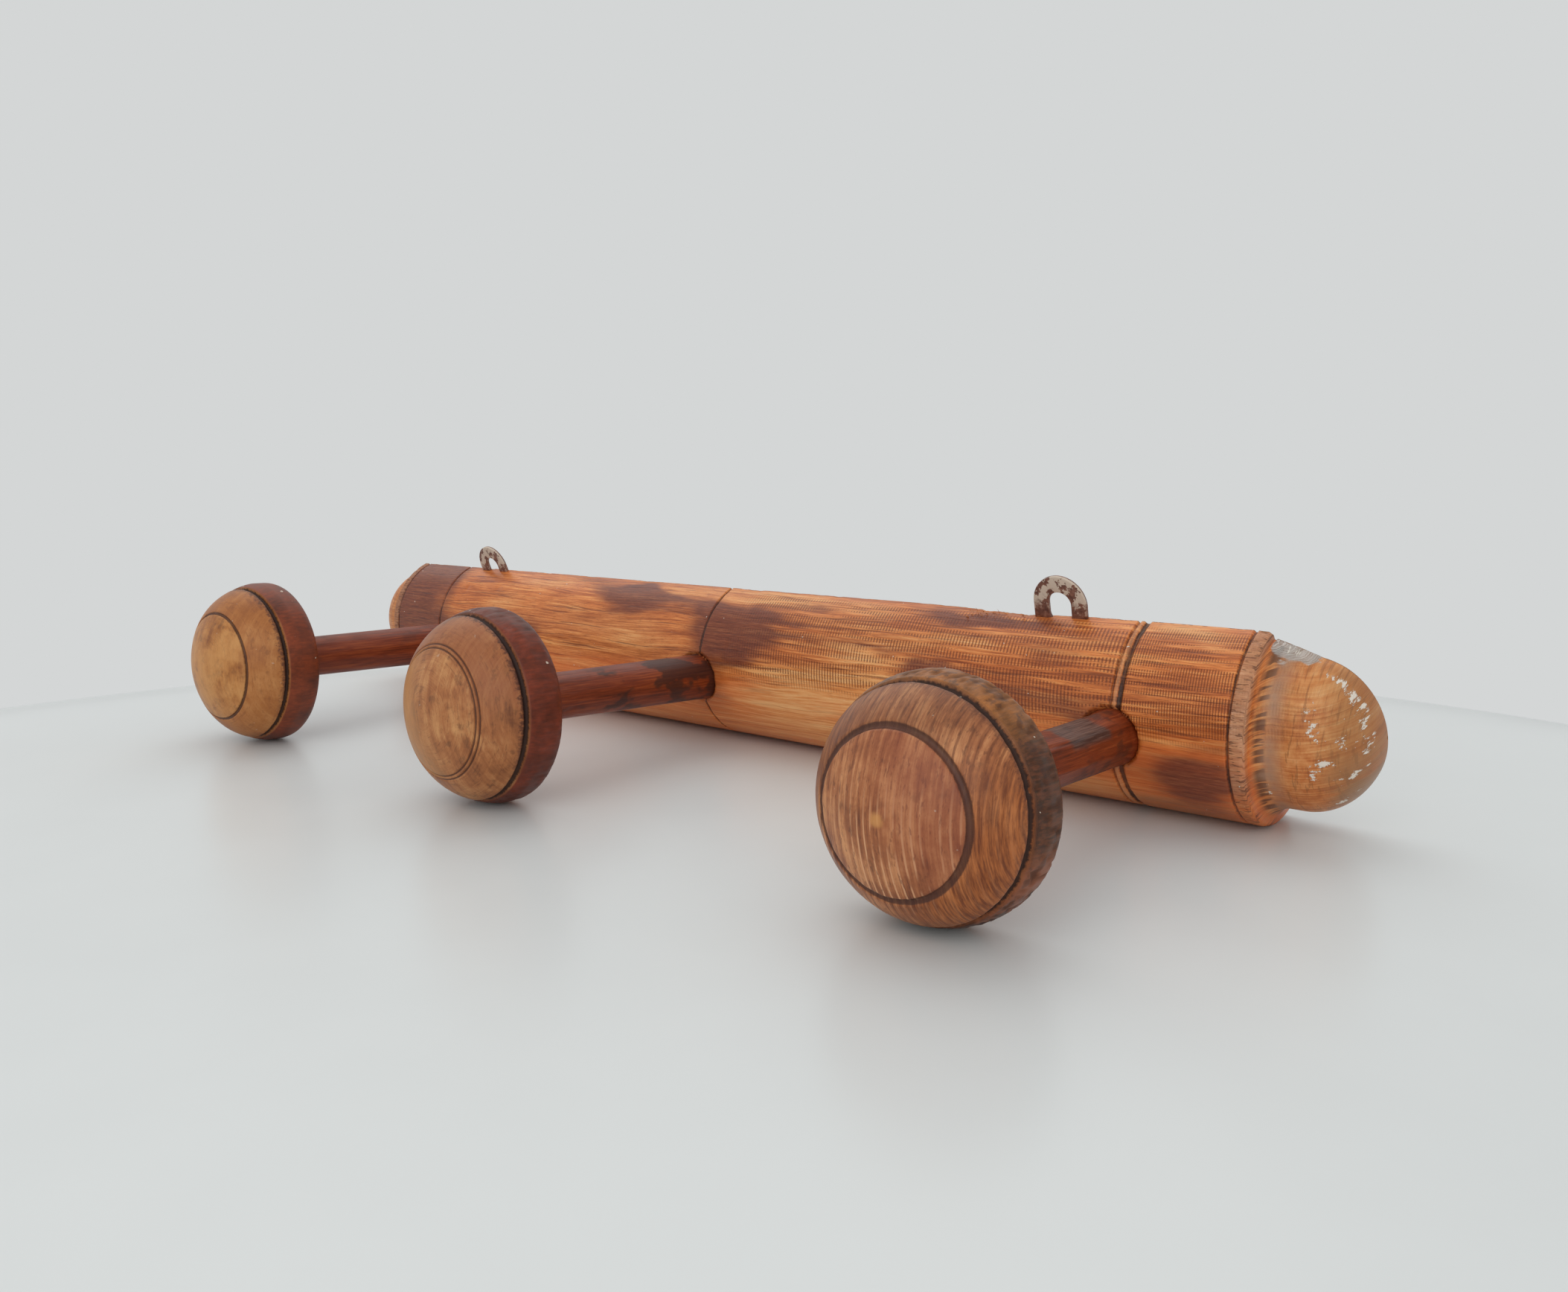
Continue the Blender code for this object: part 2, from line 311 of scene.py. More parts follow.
railPlan = {
    "radius": 0.0280,
    "tilt": 20.0,
    "ring": 0.156,  # from one ring to the next
    "collarEnd": 0.1914,
    "collarRound": 0.0012,
    "collarEdge": 0.0268,
    "coveLength": 0.0052,
    "domeRadius": 0.0221,
    "domeStraight": 0.0036,
    "domeLength": 0.0176,
    "stationsAlong": 700,
    "stationsRound": 100,
    "stationsBack": 34,
    # the turned lines: place along, half width and depth in mm, then half width and strength of their dark
    "lines": [
        (-156.0, 0.50, 0.70, 0.26, 0.8), (0.0, 0.50, 0.70, 0.24, 0.85), (154.8, 0.42, 0.60, 0.12, 0.6),
        (157.2, 0.85, 0.75, 0.50, 1.0), (187.1, 0.45, 0.60, 0.12, 0.9), (-187.1, 0.45, 0.60, 0.14, 0.9),
    ],
    # small dents: along mm, round degrees, reach and depth in mm
    "dents": [
        (13, 38, 1.0, 0.45), (-144, 63, 1.2, 0.35), (-124, 66, 1.6, 0.3), (74, 26, 1.4, 0.2),
        (140, 30, 1.1, 0.25),
    ],
    "holeRough": (0.10, 0.12, 0.22),  # how far the grain stands up round each peg, in mm
    "plateSunk": 0.0020,
    "boreSunk": 0.0012,
    # dark clouds of old varnish, and painted shade on the front near the right end: along mm, round degrees,
    # their reach, strength
    "sootAndShadeClouds": [
        (-184, 70, 16, 34, 1.1), (-168, 78, 14, 16, 1.0), (-174, 20, 18, 34, 0.7), (-156, 62, 6, 40, 0.4),
        (-150, 26, 12, 14, 0.4), (-126, 34, 18, 7, 0.5), (-102, 34, 14, 12, 0.9), (-108, 10, 14, 20, 0.8),
        (-128, 80, 14, 8, 0.45), (-72, 86, 22, 7, 0.6), (-52, 74, 22, 6, 0.75), (-30, 70, 26, 9, 0.95),
        (-24, 56, 22, 6, 0.4), (2, 66, 10, 10, 0.7), (18, 62, 20, 9, 0.85), (8, 48, 17, 13, 1.1),
        (18, 38, 15, 12, 0.8), (3, 22, 12, 16, 0.7), (-14, 10, 16, 8, 0.5), (4, -6, 14, 16, 0.45),
        (46, 78, 12, 6, 0.7), (100, 80, 20, 9, 1.0), (120, 76, 22, 6, 0.7), (60, 58, 40, 3, 0.6),
        (74, 49, 34, 3, 0.55), (40, 45, 30, 3, 0.45), (132, 56, 18, 3, 0.5), (92, 38, 12, 6, 0.8),
        (108, 33, 16, 8, 0.6), (128, 30, 18, 9, 0.4), (146, 24, 12, 10, 0.55), (150, 6, 9, 12, 0.7),
        (174, 32, 14, 7, 0.35), (182, 16, 9, 14, 0.4), (166, 2, 16, 14, 0.3), (173, -38, 22, 20, 0.6),
        (180, -8, 13, 16, 0.95), (-42, 58, 14, 8, 0.6), (-180, 44, 18, 34, 0.6), (-78, -10, 26, 20, 0.3),
        (-30, -2, 20, 9, 0.6), (208, 80, 8, 10, 0.6), (214, 0, 6, 20, 0.4),
    ],
    # worn golden places, and painted sheen in thin bands along the top of the rail, laid out the same way
    "goldAndSheenPlaces": [
        (-98, 74, 16, 6, 0.9), (-116, 54, 12, 7, 0.6), (-60, 48, 26, 9, 0.5), (-64, 24, 30, 15, 0.45),
        (-34, 36, 14, 9, 0.7), (-20, 84, 20, 6, 0.8), (30, 86, 30, 5, 1.1), (26, 78, 20, 6, 1.1),
        (48, -8, 26, 14, 0.6), (66, 80, 10, 5, 0.9), (72, 38, 14, 8, 1.0), (66, 66, 30, 4, 0.7),
        (84, 54, 26, 4, 0.8), (52, 24, 22, 9, 1.0), (66, 16, 20, 10, 1.0), (40, 6, 22, 12, 0.7),
        (104, 60, 20, 3, 0.8), (98, 12, 18, 12, 0.7), (60, -24, 60, 22, 0.9), (-50, -30, 40, 20, 0.7),
        (166, 80, 10, 6, 1.0), (178, 74, 9, 5, 0.7), (140, 64, 14, 3, 0.7), (-172, -36, 16, 20, 0.5),
        (130, -34, 34, 18, 0.8), (206, 62, 8, 16, 0.9), (210, 30, 8, 20, 0.7), (172, -50, 16, 14, 0.7),
    ],
    # smears of white paint, laid out the same way
    "smears": [
        (204.5, 42, 1.6, 9, 1.2), (205.5, 30, 2.0, 6, 1.1), (208, 74, 4, 5, 1.3), (212, 66, 4, 7, 1.2),
        (206, -2, 1.4, 8, 1.4), (208.5, 6, 2.4, 3, 1.3), (214, 50, 2.0, 14, 1.1), (216, 20, 1.5, 30, 1.1),
        (213, -14, 3, 8, 1.2), (210, -44, 4, 8, 1.3), (195, -18, 2, 8, 1.2), (212, 24, 3, 6, 0.9),
        (199, 84, 8, 6, 0.9), (188, -66, 3, 5, 1.3), (209, 12, 6, 40, 0.45),
    ],
}

railLow, railHigh = (np.array(corner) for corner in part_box("rail"))
tilt = np.radians(railPlan["tilt"])
axisY = railHigh[1] - railPlan["radius"] * np.sin(tilt)
axisZ = railLow[2] + railPlan["radius"]


def fromRail(x, y, z):
    # rail's own frame (back plane at y = 0, round side towards -y) turned by the tilt into the row's frame
    ahead = axisY + y * np.cos(tilt) - z * np.sin(tilt)
    return xyz(x, ahead, axisZ + y * np.sin(tilt) + z * np.cos(tilt))


def toRail(points):
    # the same turn undone
    y, z = points[..., 1] - axisY, points[..., 2] - axisZ
    return xyz(points[..., 0], y * np.cos(tilt) + z * np.sin(tilt), z * np.cos(tilt) - y * np.sin(tilt))


def onRound(x, radius, turn):
    # a place on the round side, in the rail's own frame: the radius swung up by the turn in degrees
    turn = np.radians(turn)
    return x, -radius * np.cos(turn), radius * np.sin(turn)


pegPlan = {
    "offRing": (0.0080, -0.0005, -0.0019),
    "drop": 0.0049,
    "radius": 0.0081,
    "tipRadius": 0.0075,
    "straight": 0.0017,
    "reach": 0.1074,
    "socket": 0.016,
    "gap": 0.0003,
    "along": 230,
    "round": 96,
    "facets": (0.1, 0.2, 0.75),  # how much of the whittled flats each peg shows
    "lid": (0.0, 0.35, 0.7, 0.93),  # rings that close an end, as shares of its radius
}


def pegLine(index):
    # start on the rail's upright plane, then the way ahead to the knob's middle, to the side and up
    x = railPlan["ring"] * (index - 2) + pegPlan["offRing"][index - 1]
    start = np.array([x, axisY, axisZ - pegPlan["drop"]])
    ahead = meshPoints(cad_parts[f"knob_{index}"].data).mean(0) - start
    ahead /= np.linalg.norm(ahead)
    side = np.array([-ahead[1], ahead[0], 0]) / np.hypot(ahead[0], ahead[1])
    return start, ahead, side, np.cross(ahead, side)


pegLines = [pegLine(index) for index in (1, 2, 3)]


def offPeg(points, index):
    # distance of each point from a peg's line
    start, ahead = pegLines[index][:2]
    away = points - start
    return np.linalg.norm(away - (away @ ahead)[..., None] * ahead, axis=-1)


def roundPeg(index, far, radius, angle):
    # that far along a peg's line, and the radius swung from its side to its up
    start, ahead, side, up = pegLines[index]
    across, rise = radius * np.cos(angle), radius * np.sin(angle)
    return start + far[..., None] * ahead + across[..., None] * side + rise[..., None] * up


platePlan = {
    "offRing": (0.0188, -0.0246),
    "turn": (0.0, 5.0),
    "rise": (0.0021, 0.0041),
    "half": 0.0083,
    "length": 0.025,
    "thick": 0.0014,
    "flush": 0.0003,
    "archStretch": 1.05,
    "loopHalf": 0.00355,
    "loopStraight": 0.003,
    "screwDown": (0.0120, 0.0195),
    "screwHead": 0.0030,
    "screwRadius": 0.0015,
    "screwLength": 0.014,
    "sinkGap": 0.00045,
    "slotHalf": 0.0004,
    "slotDeep": 0.0006,
    "slotTurns": (20, 75, -35, 50),
    "softEdge": 0.00028,
    "screwSoftEdge": 0.00006,
}


def plateAt(index):
    # the middle of a plate along the rail, its turn, and the middle of its arch up the back
    at = railPlan["ring"] * (2 * index - 1) + platePlan["offRing"][index]
    return at, np.radians(platePlan["turn"][index]), railPlan["radius"] + platePlan["rise"][index]


def plateFrame(index):
    # matrix from a plate's own frame, centred on its arch, to the row's frame
    at, turn, rise = plateAt(index)
    lean = Matrix.Translation((0, axisY, axisZ)) @ Matrix.Rotation(tilt, 4, "X")
    return lean @ Matrix.Translation((at, 0, rise)) @ Matrix.Rotation(turn, 4, "Y")


def insidePlate(x, z, index, grow):
    # how far inside a plate's outline a point of the flat back lies, above 0 inside
    at, turn, rise = plateAt(index)
    x, z = x - at, z - rise
    across, down = x * np.cos(turn) - z * np.sin(turn), x * np.sin(turn) + z * np.cos(turn)
    foot = -platePlan["length"] + platePlan["half"]
    return platePlan["half"] + grow - np.where(down < foot, np.hypot(across, down - foot), np.abs(across))


def splinters(roots, lean, lift, length, thick):
    # thin curved spikes: root, plus the lean times the way along, plus the lift times its square
    way = np.linspace(0, 1, 6)[None, :, None, None]
    turn = np.linspace(0, 2 * np.pi, 5, endpoint=False)[:, None]
    lean = lean / np.linalg.norm(lean, axis=-1, keepdims=True)
    across = np.cross(lean, [0.31, 0.52, 0.79])
    across /= np.linalg.norm(across, axis=-1, keepdims=True)
    beside = np.cross(lean, across)
    size = thick[:, None, None, None] * np.array([0, 1, 0.85, 0.6, 0.35, 0])[None, :, None, None]
    bent = lean[:, None, None] * way + lift[:, None, None] * way**2
    middle = roots[:, None, None] + length[:, None, None, None] * bent
    points = middle + size * (np.cos(turn) * across[:, None, None] + np.sin(turn) * beside[:, None, None])
    faces = [gridFaces(6, 5, wrap=True, start=30 * index) for index in range(len(roots))]
    return points.reshape(-1, 3), np.concatenate(faces)


def railSplinters():
    # fibres pulled up round the right and middle peg holes and along the torn top edge
    count, onRight = 64, 34
    dice = np.random.default_rng(7).random((count, 6))
    which = np.where(np.arange(count) < onRight, 2, 1)
    angle = np.radians(np.where(which == 2, dice[:, 0] * 130 - 62, dice[:, 0] * 110 - 10))
    start, ahead, side, up = (np.stack(parts)[which] for parts in zip(*pegLines))
    out = np.cos(angle)[:, None] * side + np.sin(angle)[:, None] * up
    roots = start + out * (pegPlan["radius"] + 0.0002)
    local = toRail(roots)
    lift = np.sqrt(np.maximum(railPlan["radius"] ** 2 - local[:, 2] ** 2, 0)) + local[:, 1]
    roots = roots + ahead * (lift - 0.0003)[:, None]
    lean = ahead * (0.5 + dice[:, 1:2]) + out * (0.5 + 0.9 * dice[:, 2:3]) + side * 0.2
    length = (0.0007 + 0.0013 * dice[:, 3] ** 2) * np.where(which == 2, 1, 0.6)
    first = splinters(roots, lean, out * 0.25, length, 0.00006 + 0.00007 * dice[:, 4])
    count = 46
    dice = np.random.default_rng(11).random((count, 6))
    edge = onRound(0.099 + 0.034 * dice[:, 0], railPlan["radius"] - 0.0009, 80 + 9 * dice[:, 1])
    lean = xyz((dice[:, 2] - 0.35) * 5, -0.4 - dice[:, 3], 0.5 + 0.5 * dice[:, 4])
    lift = np.array([[0.0, -0.3, -0.2]]) + 0 * lean
    length, thick = 0.0012 + 0.0028 * dice[:, 5], 0.00008 + 0.00012 * dice[:, 3]
    second = splinters(fromRail(*edge), lean, lift, length, thick)
    return np.concatenate([first[0], second[0]]), np.concatenate([first[1], second[1] + len(first[0])])


def railProfile():
    # the right half's outline: bar, rounded collar edge, cove and quarter ellipse of the dome
    plan = railPlan
    end, edge, cove = plan["collarEnd"], plan["collarEdge"], plan["coveLength"]
    half = np.linspace(0, np.pi / 2, 60)
    right = [(0.0, plan["radius"]), (end - plan["collarRound"], plan["radius"])]
    right += bow(right[-1], (end, edge), 0.0003, 12)[1:]
    drop = edge - plan["domeRadius"]
    right += list(zip(end + cove * (1 - np.cos(half[1:])), edge - drop * np.sin(half[1:])))
    start = end + cove + plan["domeStraight"]
    right += list(zip(start + plan["domeLength"] * np.sin(half), plan["domeRadius"] * np.cos(half)))
    return alongLine(right)


def railGrid():
    # places along, radius and turn in degrees over the round side, closer together where detail sits
    plan = railPlan
    length, profileX, profileR = railProfile()
    focus = [(line[0] / 1000, 0.0014, 7) for line in plan["lines"]]
    focus += [(sign * 0.1935, 0.0050, 2.2) for sign in (1, -1)]
    focus += [(line[0][0], 0.0100, 1.1) for line in pegLines]
    focus += [(side * platePlan["half"] + plateAt(i)[0], 0.0007, 4) for side in (1, -1) for i in (0, 1)]
    focus += [(0.115, 0.020, 0.8), (0.216, 0.012, 1.0)]
    station = spread(-length[-1], length[-1], plan["stationsAlong"], focus)
    x = np.sign(station) * np.interp(np.abs(station), length, profileX)
    radius = np.interp(np.abs(station), length, profileR)
    turn = spread(-90, 90, plan["stationsRound"], [(10, 20, 1.0), (88, 6, 2.0), (-88, 4, 1.0)])
    return [np.array(part) for part in np.broadcast_arrays(x[:, None], radius[:, None], turn)]


def railBack(x, low, high):
    # flat back: straight across from edge to edge, sunk for plates and bores, with saw marks
    part = spread(-1, 1, railPlan["stationsBack"], [(-0.2, 0.30, 0.9), (0.45, 0.35, 0.4)])
    z = low + (high - low) * (part + 1) / 2
    x = x + 0 * z
    sunk = np.zeros_like(z)
    for index in range(2):
        inside = fade(-0.0002, 0.0001, insidePlate(x, z, index, 0.0003))
        sunk = np.maximum(sunk, railPlan["plateSunk"] * inside)
    surface = fromRail(x, 0, z)
    for index in range(3):
        inside = 1 - fade(0.0083, 0.0087, offPeg(surface, index))
        sunk = np.maximum(sunk, railPlan["boreSunk"] * inside)
    sawn = 0.00006 * (1 + layered(xyz(x, z, 0) * 1000, (2.4, 9, 1), 51))
    inner = np.sin(np.pi * (part + 1) / 2) > 0.02
    return x, -(sunk + sawn) * inner, z


def blots(drift, places):
    # bells round each (along, round degrees, their reach, strength), added up
    total = 0
    for at, around, reachX, reachTurn, strength in places:
        swing = (np.degrees(drift[..., 1] / (railPlan["radius"] * 1000)) - around) / reachTurn
        total = total + strength * np.exp(-(((drift[..., 0] - at) / reachX) ** 2 + swing**2))
    return np.clip(total, 0, 1.3)


def makeRail(material):
    # the grid of the round side, cut inwards by lines, wear and dents, then the back and the splinters
    plan = railPlan
    x, radius, turn = railGrid()
    mmX, mmRound = x * 1000, np.radians(turn) * plan["radius"] * 1000
    flat, far = xyz(mmX, mmRound, 0), np.abs(mmX)
    strip = flat * [1, 0, 0] + 0.5
    inward = np.zeros_like(x)  # in mm
    ragged = layered(flat, (3, 1.2, 1), 3)
    for at, half, depth, _, _ in plan["lines"]:
        wobble = 0.10 * mottle(flat, (6, 9, 1), int(at) % 17)
        inward += depth * (1 + 0.2 * ragged) * groove(mmX - at + wobble, half * (1 + 0.22 * ragged))
    onBar = 1 - fade(190, 191.5, far)
    inward += 0.05 * (1 + layered(flat, (40, 5, 1), 11)) * onBar
    # torn grain between the collar's groove and its edge
    band = fade(187.7, 188.4, far) * (1 - fade(190.6, 191.4, far))
    pits = fade(0.05, 0.75, mottle(flat, (2.2, 0.55, 1), 21))
    inward += 0.32 * band * pits * fade(-60, 60, turn + 60)
    # chips along the top edge, worst beside the right plate
    edge = fade(83, 90, turn)
    nicks = np.clip(layered(strip, (7, 1, 1), 31), 0, 1) * 0.5
    torn = hump(116, 16, mmX) * (0.6 + 0.8 * np.abs(layered(strip, (3.1, 1, 1), 33)))
    inward += edge * (nicks + 1.25 * torn) * onBar
    inward += 0.9 * edge * hump(198, 7, mmX) * (1 + 0.7 * layered(flat, (2.5, 2, 1), 35))
    for at, around, reach, depth in plan["dents"]:
        inward += depth * np.exp(-(((mmX - at) / reach) ** 2 + ((turn - around) / (reach * 2.2)) ** 2))
    # gap round each peg, with grain pulled up beside it
    place = fromRail(*onRound(x, radius, turn))
    facing = place[..., 1] < axisY
    for index, rough in enumerate(plan["holeRough"]):
        away = offPeg(place, index) * 1000 - pegPlan["radius"] * 1000
        inward += 1.6 * (1 - fade(0.10, 0.55, away + 0.18 * ragged)) * facing
        inward -= rough * hump(0.9, 0.6, away) * (0.5 + layered(flat, (0.9, 0.9, 1), 41 + index)) * facing
    radius = np.maximum(radius - np.clip(inward, -0.05, 3) / 1000 * fade(0, 0.004, radius), 0)
    # old filler smeared into the right cove along the top edge
    filler = fade(70, 86, turn + 7 * ragged) * fade(191.0, 192.5, mmX) * (1 - fade(201, 205, mmX + 2 * ragged))
    slope = 0.0266 - (mmX - 191.4) * 0.00040 + 0.00025 * ragged
    radius = np.where(mmX > 190.8, np.maximum(radius, radius + (slope - radius) * filler * 0.9), radius)
    front = onRound(x, radius, turn)
    back = railBack(x[:, :1], front[2][:, :1], front[2][:, -1:])
    frontPoints, backPoints = fromRail(*front), fromRail(*back)
    backPoints[:, 0], backPoints[:, -1] = frontPoints[:, 0], frontPoints[:, -1]
    spikes, spikeFaces = railSplinters()
    points = np.concatenate([part.reshape(-1, 3) for part in (frontPoints, backPoints, spikes)])
    faces = np.concatenate([
        gridFaces(*x.shape)[:, ::-1],
        gridFaces(*back[2].shape, start=x.size),
        spikeFaces + x.size + back[2].size,
    ])
    # where the finish changes, as one number each for the round side, the back and the splinters
    drift = flat + 5 * xyz(layered(flat, (26, 9, 1), 61), layered(flat, (20, 8, 1), 62), 0)
    drift = np.where(far[..., None] > 190, flat, drift)
    bare = np.clip(band * (0.35 + 0.65 * pits) + edge * torn * 1.2 + 0.8 * edge * nicks, 0, 1)
    fields = {
        "sootAndShade": (blots(drift, plan["sootAndShadeClouds"]), 0.1, 0.15),
        "goldAndSheen": (blots(drift, plan["goldAndSheenPlaces"]), 0.1, 0.3),
        "paint": (blots(drift, plan["smears"]), 0.0, 0.0),
        "bare": (bare, 0.0, 0.7),
        "filler": (filler, 0.0, 0.0),
        "back": (0 * mmX, 1.0, 0.0),
    }
    fields = {
        key: np.concatenate([one.ravel(), np.full(back[2].size, behind), np.full(len(spikes), spiked)])
        for key, (one, behind, spiked) in fields.items()
    }
    lay = np.concatenate([
        xyz(mmX, np.where(far > 191, front[2] * 1250, mmRound), front[1] * 1000).reshape(-1, 3),
        xyz(back[0] * 1000, 80 + back[2] * 1000, 0).reshape(-1, 3),
        spikes * 1000,
    ])
    piece = buildPiece("turnedRail", points, faces, lay, fields, material)
    return finishPiece(piece, "rail")


def railVarnish():
    # grain from noise drawn out along the rail, then each stain, mark and fleck laid over it, with painted
    # sheen, painted shade and a painted highlight among them
    wood = Finish("railVarnish")
    x, around, _ = wood.lay()
    at = (x, around)
    sootAndShade, goldAndSheen, paint, bare, filler, back = wood.fields("sootAndShade", "goldAndSheen", "paint", "bare", "filler", "back")
    level = around + (wood.noise(at, (0.012, 0.06), 2.0) - 0.5) * 7.0
    along = (x, level)
    row = wood.noise(along, (0.010, 0.36), 3.0, 0.6)
    fibre = wood.noise(along, (0.055, 1.7), 4.0, 0.62, 3.0)
    fine = wood.noise(at, (0.30, 5.0), 3.0, 0.6, 6.0)
    blotch = wood.noise(at, (0.06, 0.12), 3.0, 0.55, 9.0)
    ends = wood.fade(191.6, 193.0, abs(x))
    upper = wood.fade(2.0, 13.0, around + (row - 0.5) * 12.0)
    grain = row * 0.38 + fibre * 0.50 + fine * 0.12
    ribs = [(0.36, 116, 50, 22), (0.45, 174, 90, 40), (0.52, 212, 122, 60), (0.61, 238, 162, 94)]
    ribbed = wood.ramp(grain, *ribs)
    smooth = wood.ramp(grain, (0.34, 176, 78, 28), (0.48, 218, 110, 46), (0.62, 238, 144, 74))
    golden = wood.ramp(grain, (0.36, 184, 98, 46), (0.47, 222, 144, 80), (0.59, 238, 182, 122))
    # lathe chatter: rows of short ticks across the upper half, closer together past the last ring
    closer = wood.fade(156.0, 157.0, x) * (x - 156.5) * 2.6
    beat = wood.wave(x * 5.7 + closer + around * 0.5 + (fine - 0.5) * 3.0)
    tick = wood.fade(-0.2, 0.6, beat) * wood.fade(0.42, 0.52, wood.noise(at, (0.030, 0.46), 2.0, 0.6, 12.0))
    ticked = wood.fade(5.0, 13.0, around) * (1 - wood.fade(39.0, 42.5, around)) * wood.fade(6.0, 26.0, x)
    chatter = tick * (ticked * (1 - wood.fade(187.0, 188.0, x) * 0.6))
    pore = wood.fade(0.54, 0.64, wood.noise(at, (0.35, 2.6), 3.0, 0.7, 29.0))
    thread = wood.fade(0.575, 0.63, wood.noise(along, (0.022, 0.95), 3.0, 0.62, 14.0)) * (0.25 + upper * 0.75)
    glint = wood.fade(0.64, 0.70, wood.noise(along, (0.05, 2.3), 2.0, 0.6, 16.0))
    dark = wood.ramp(fibre * 0.5 + fine * 0.5, (0.34, 62, 24, 17), (0.5, 104, 46, 32), (0.66, 146, 80, 54))
    uneven = (row - 0.5) * 1.5 * sootAndShade + (blotch - 0.5) * 0.9 * sootAndShade + (fibre - 0.5) * 0.5 * sootAndShade
    smokeAndShade = wood.fade(0.18, 0.98, sootAndShade + uneven)
    # worn end: dome, and the dusty cove with its dark rungs
    domed = wood.ramp(
        fibre * 0.25 + row * 0.15 + blotch * 0.35 + 0.25 * wood.noise(at, (0.5, 0.35), 3.0, 0.6, 13.0),
        (0.38, 144, 74, 36), (0.47, 188, 114, 58), (0.54, 210, 146, 88), (0.64, 230, 184, 132),
    )
    rung = wood.fade(0.46, 0.50, wood.noise(at, (0.10, 0.62), 1.0, 0.4, 15.0))
    step = ends * (1 - wood.fade(194.2, 195.0, abs(x)))
    past = wood.fade(196.0, 200.5, abs(x) + (blotch - 0.5) * 6.0)
    dusty = wood.fade(192.8, 196.0, abs(x) + (blotch - 0.5) * 4.0) * (1 - past)
    domeTick = wood.fade(0.535, 0.61, wood.noise(at, (1.1, 0.13), 3.0, 0.62, 19.0))
    domeTick = domeTick * wood.fade(197.0, 200.0, abs(x))
    haze = wood.fade(204.0, 214.0, x) * wood.fade(12.0, -12.0, around) * wood.fade(0.38, 0.52, blotch)
    tip = wood.fade(205.0, 213.0, x + (blotch - 0.5) * 6.0)
    # band between the collar's groove and its edge, with short cuts along the rail
    onBand = wood.line(abs(x), 189.5, 1.7, 0.5)
    bandStops = [(0.36, 150, 96, 66), (0.5, 188, 134, 100), (0.64, 220, 176, 144)]
    band = wood.ramp(fine * 0.5 + blotch * 0.5, *bandStops)
    dash = wood.fade(0.56, 0.61, wood.noise(at, (0.28, 1.5), 2.0, 0.6, 17.0)) * onBand
    # turned lines, each fading in and out
    jitter = (wood.noise(at, (0.2, 0.9), 2.0, 0.6, 18.0) - 0.5) * 0.6
    lines = 0.0
    for place, _, _, half, strength in railPlan["lines"]:
        lines = wood.most(wood.line(x + jitter, place, half, 0.34) * strength, lines)
    lines = wood.cap(lines * (0.45 + blotch * 0.9))
    # filler and flecks of white paint
    smear = wood.fade(0.35, 0.62, filler + (blotch - 0.5) * 0.9 + (fine - 0.5) * 0.5)
    speck = wood.noise(at, (0.55, 0.45), 5.0, 0.72, 21.0)
    fleck = wood.fade(0.545, 0.575, speck + (paint - 1.0) * 0.16) * wood.fade(0.08, 0.3, paint)
    stray = wood.fade(0.75, 0.77, wood.noise(at, (0.62, 0.62), 1.0, 0.5, 24.0)) * (1 - back)
    white = wood.most(fleck, stray)
    # sawn back, paler and dry
    sawn = wood.ramp(row * 0.6 + fine * 0.4, (0.34, 120, 74, 42), (0.5, 166, 112, 68), (0.66, 190, 138, 92))
    sawLine = wood.fade(0.52, 0.66, wood.noise(at, (1.3, 0.05), 2.0, 0.5, 27.0))
    colour = wood.over(
        smooth,
        (upper, ribbed),
        # golden wear, together with painted sheen in thin bands along the top
        (wood.cap(goldAndSheen * (0.35 + row * 1.1)), golden),
        (chatter * 0.72, (110, 50, 24)),
        (pore * (0.06 + upper * 0.28), (96, 46, 24)),
        (thread * 0.6, (96, 42, 22)),
        (glint * 0.35, (228, 168, 112)),
        # dark varnish clouds, some of them painted shade on the front near the right end
        (smokeAndShade * 0.86, dark),
        (ends * (0.8 - smokeAndShade * 0.4), domed),
        (step * rung * 0.8, (78, 42, 28)),
        (dusty * wood.cap(blotch * 2.4 - 0.6), (166, 128, 104)),
        (domeTick * 0.45, (124, 72, 36)),
        (haze * 0.7, (136, 104, 74)),
        (tip * 0.5, (142, 96, 54)),
        (onBand * wood.fade(-24.0, 16.0, around) * (0.8 - smokeAndShade * 0.3), band),
        (dash * 0.75, (84, 44, 28)),
        (bare * 0.45, wood.ramp(fibre, (0.38, 136, 84, 56), (0.6, 206, 156, 116))),
        # painted highlight along the bead between the twin lines of the right ring
        (wood.line(x, 155.9, 0.25, 0.4) * 0.45, (206, 148, 104)),
        (lines * 0.92, (40, 20, 15)),
        (smear * 0.85, wood.ramp(fine, (0.35, 120, 104, 92), (0.6, 196, 194, 190))),
        (white * 0.92, (228, 220, 208)),
        (back, wood.mix(sawLine * 0.3, sawn, (96, 58, 36))),
    )
    rough = 0.40 + (fibre - 0.5) * 0.3 + bare * 0.25 + ends * 0.05 + (white + smear) * 0.25 + back * 0.3
    height = fibre * 0.45 + fine * 0.2 - chatter * 0.8 - thread * 0.5 - dash * 0.8 + white * 0.6
    height = height + back * sawLine * 0.5 - step * rung * 0.3
    return wood.varnish(colour, rough - (blotch - 0.5) * 0.3, 0.16 - bare - back, 0.22, height, 0.6)


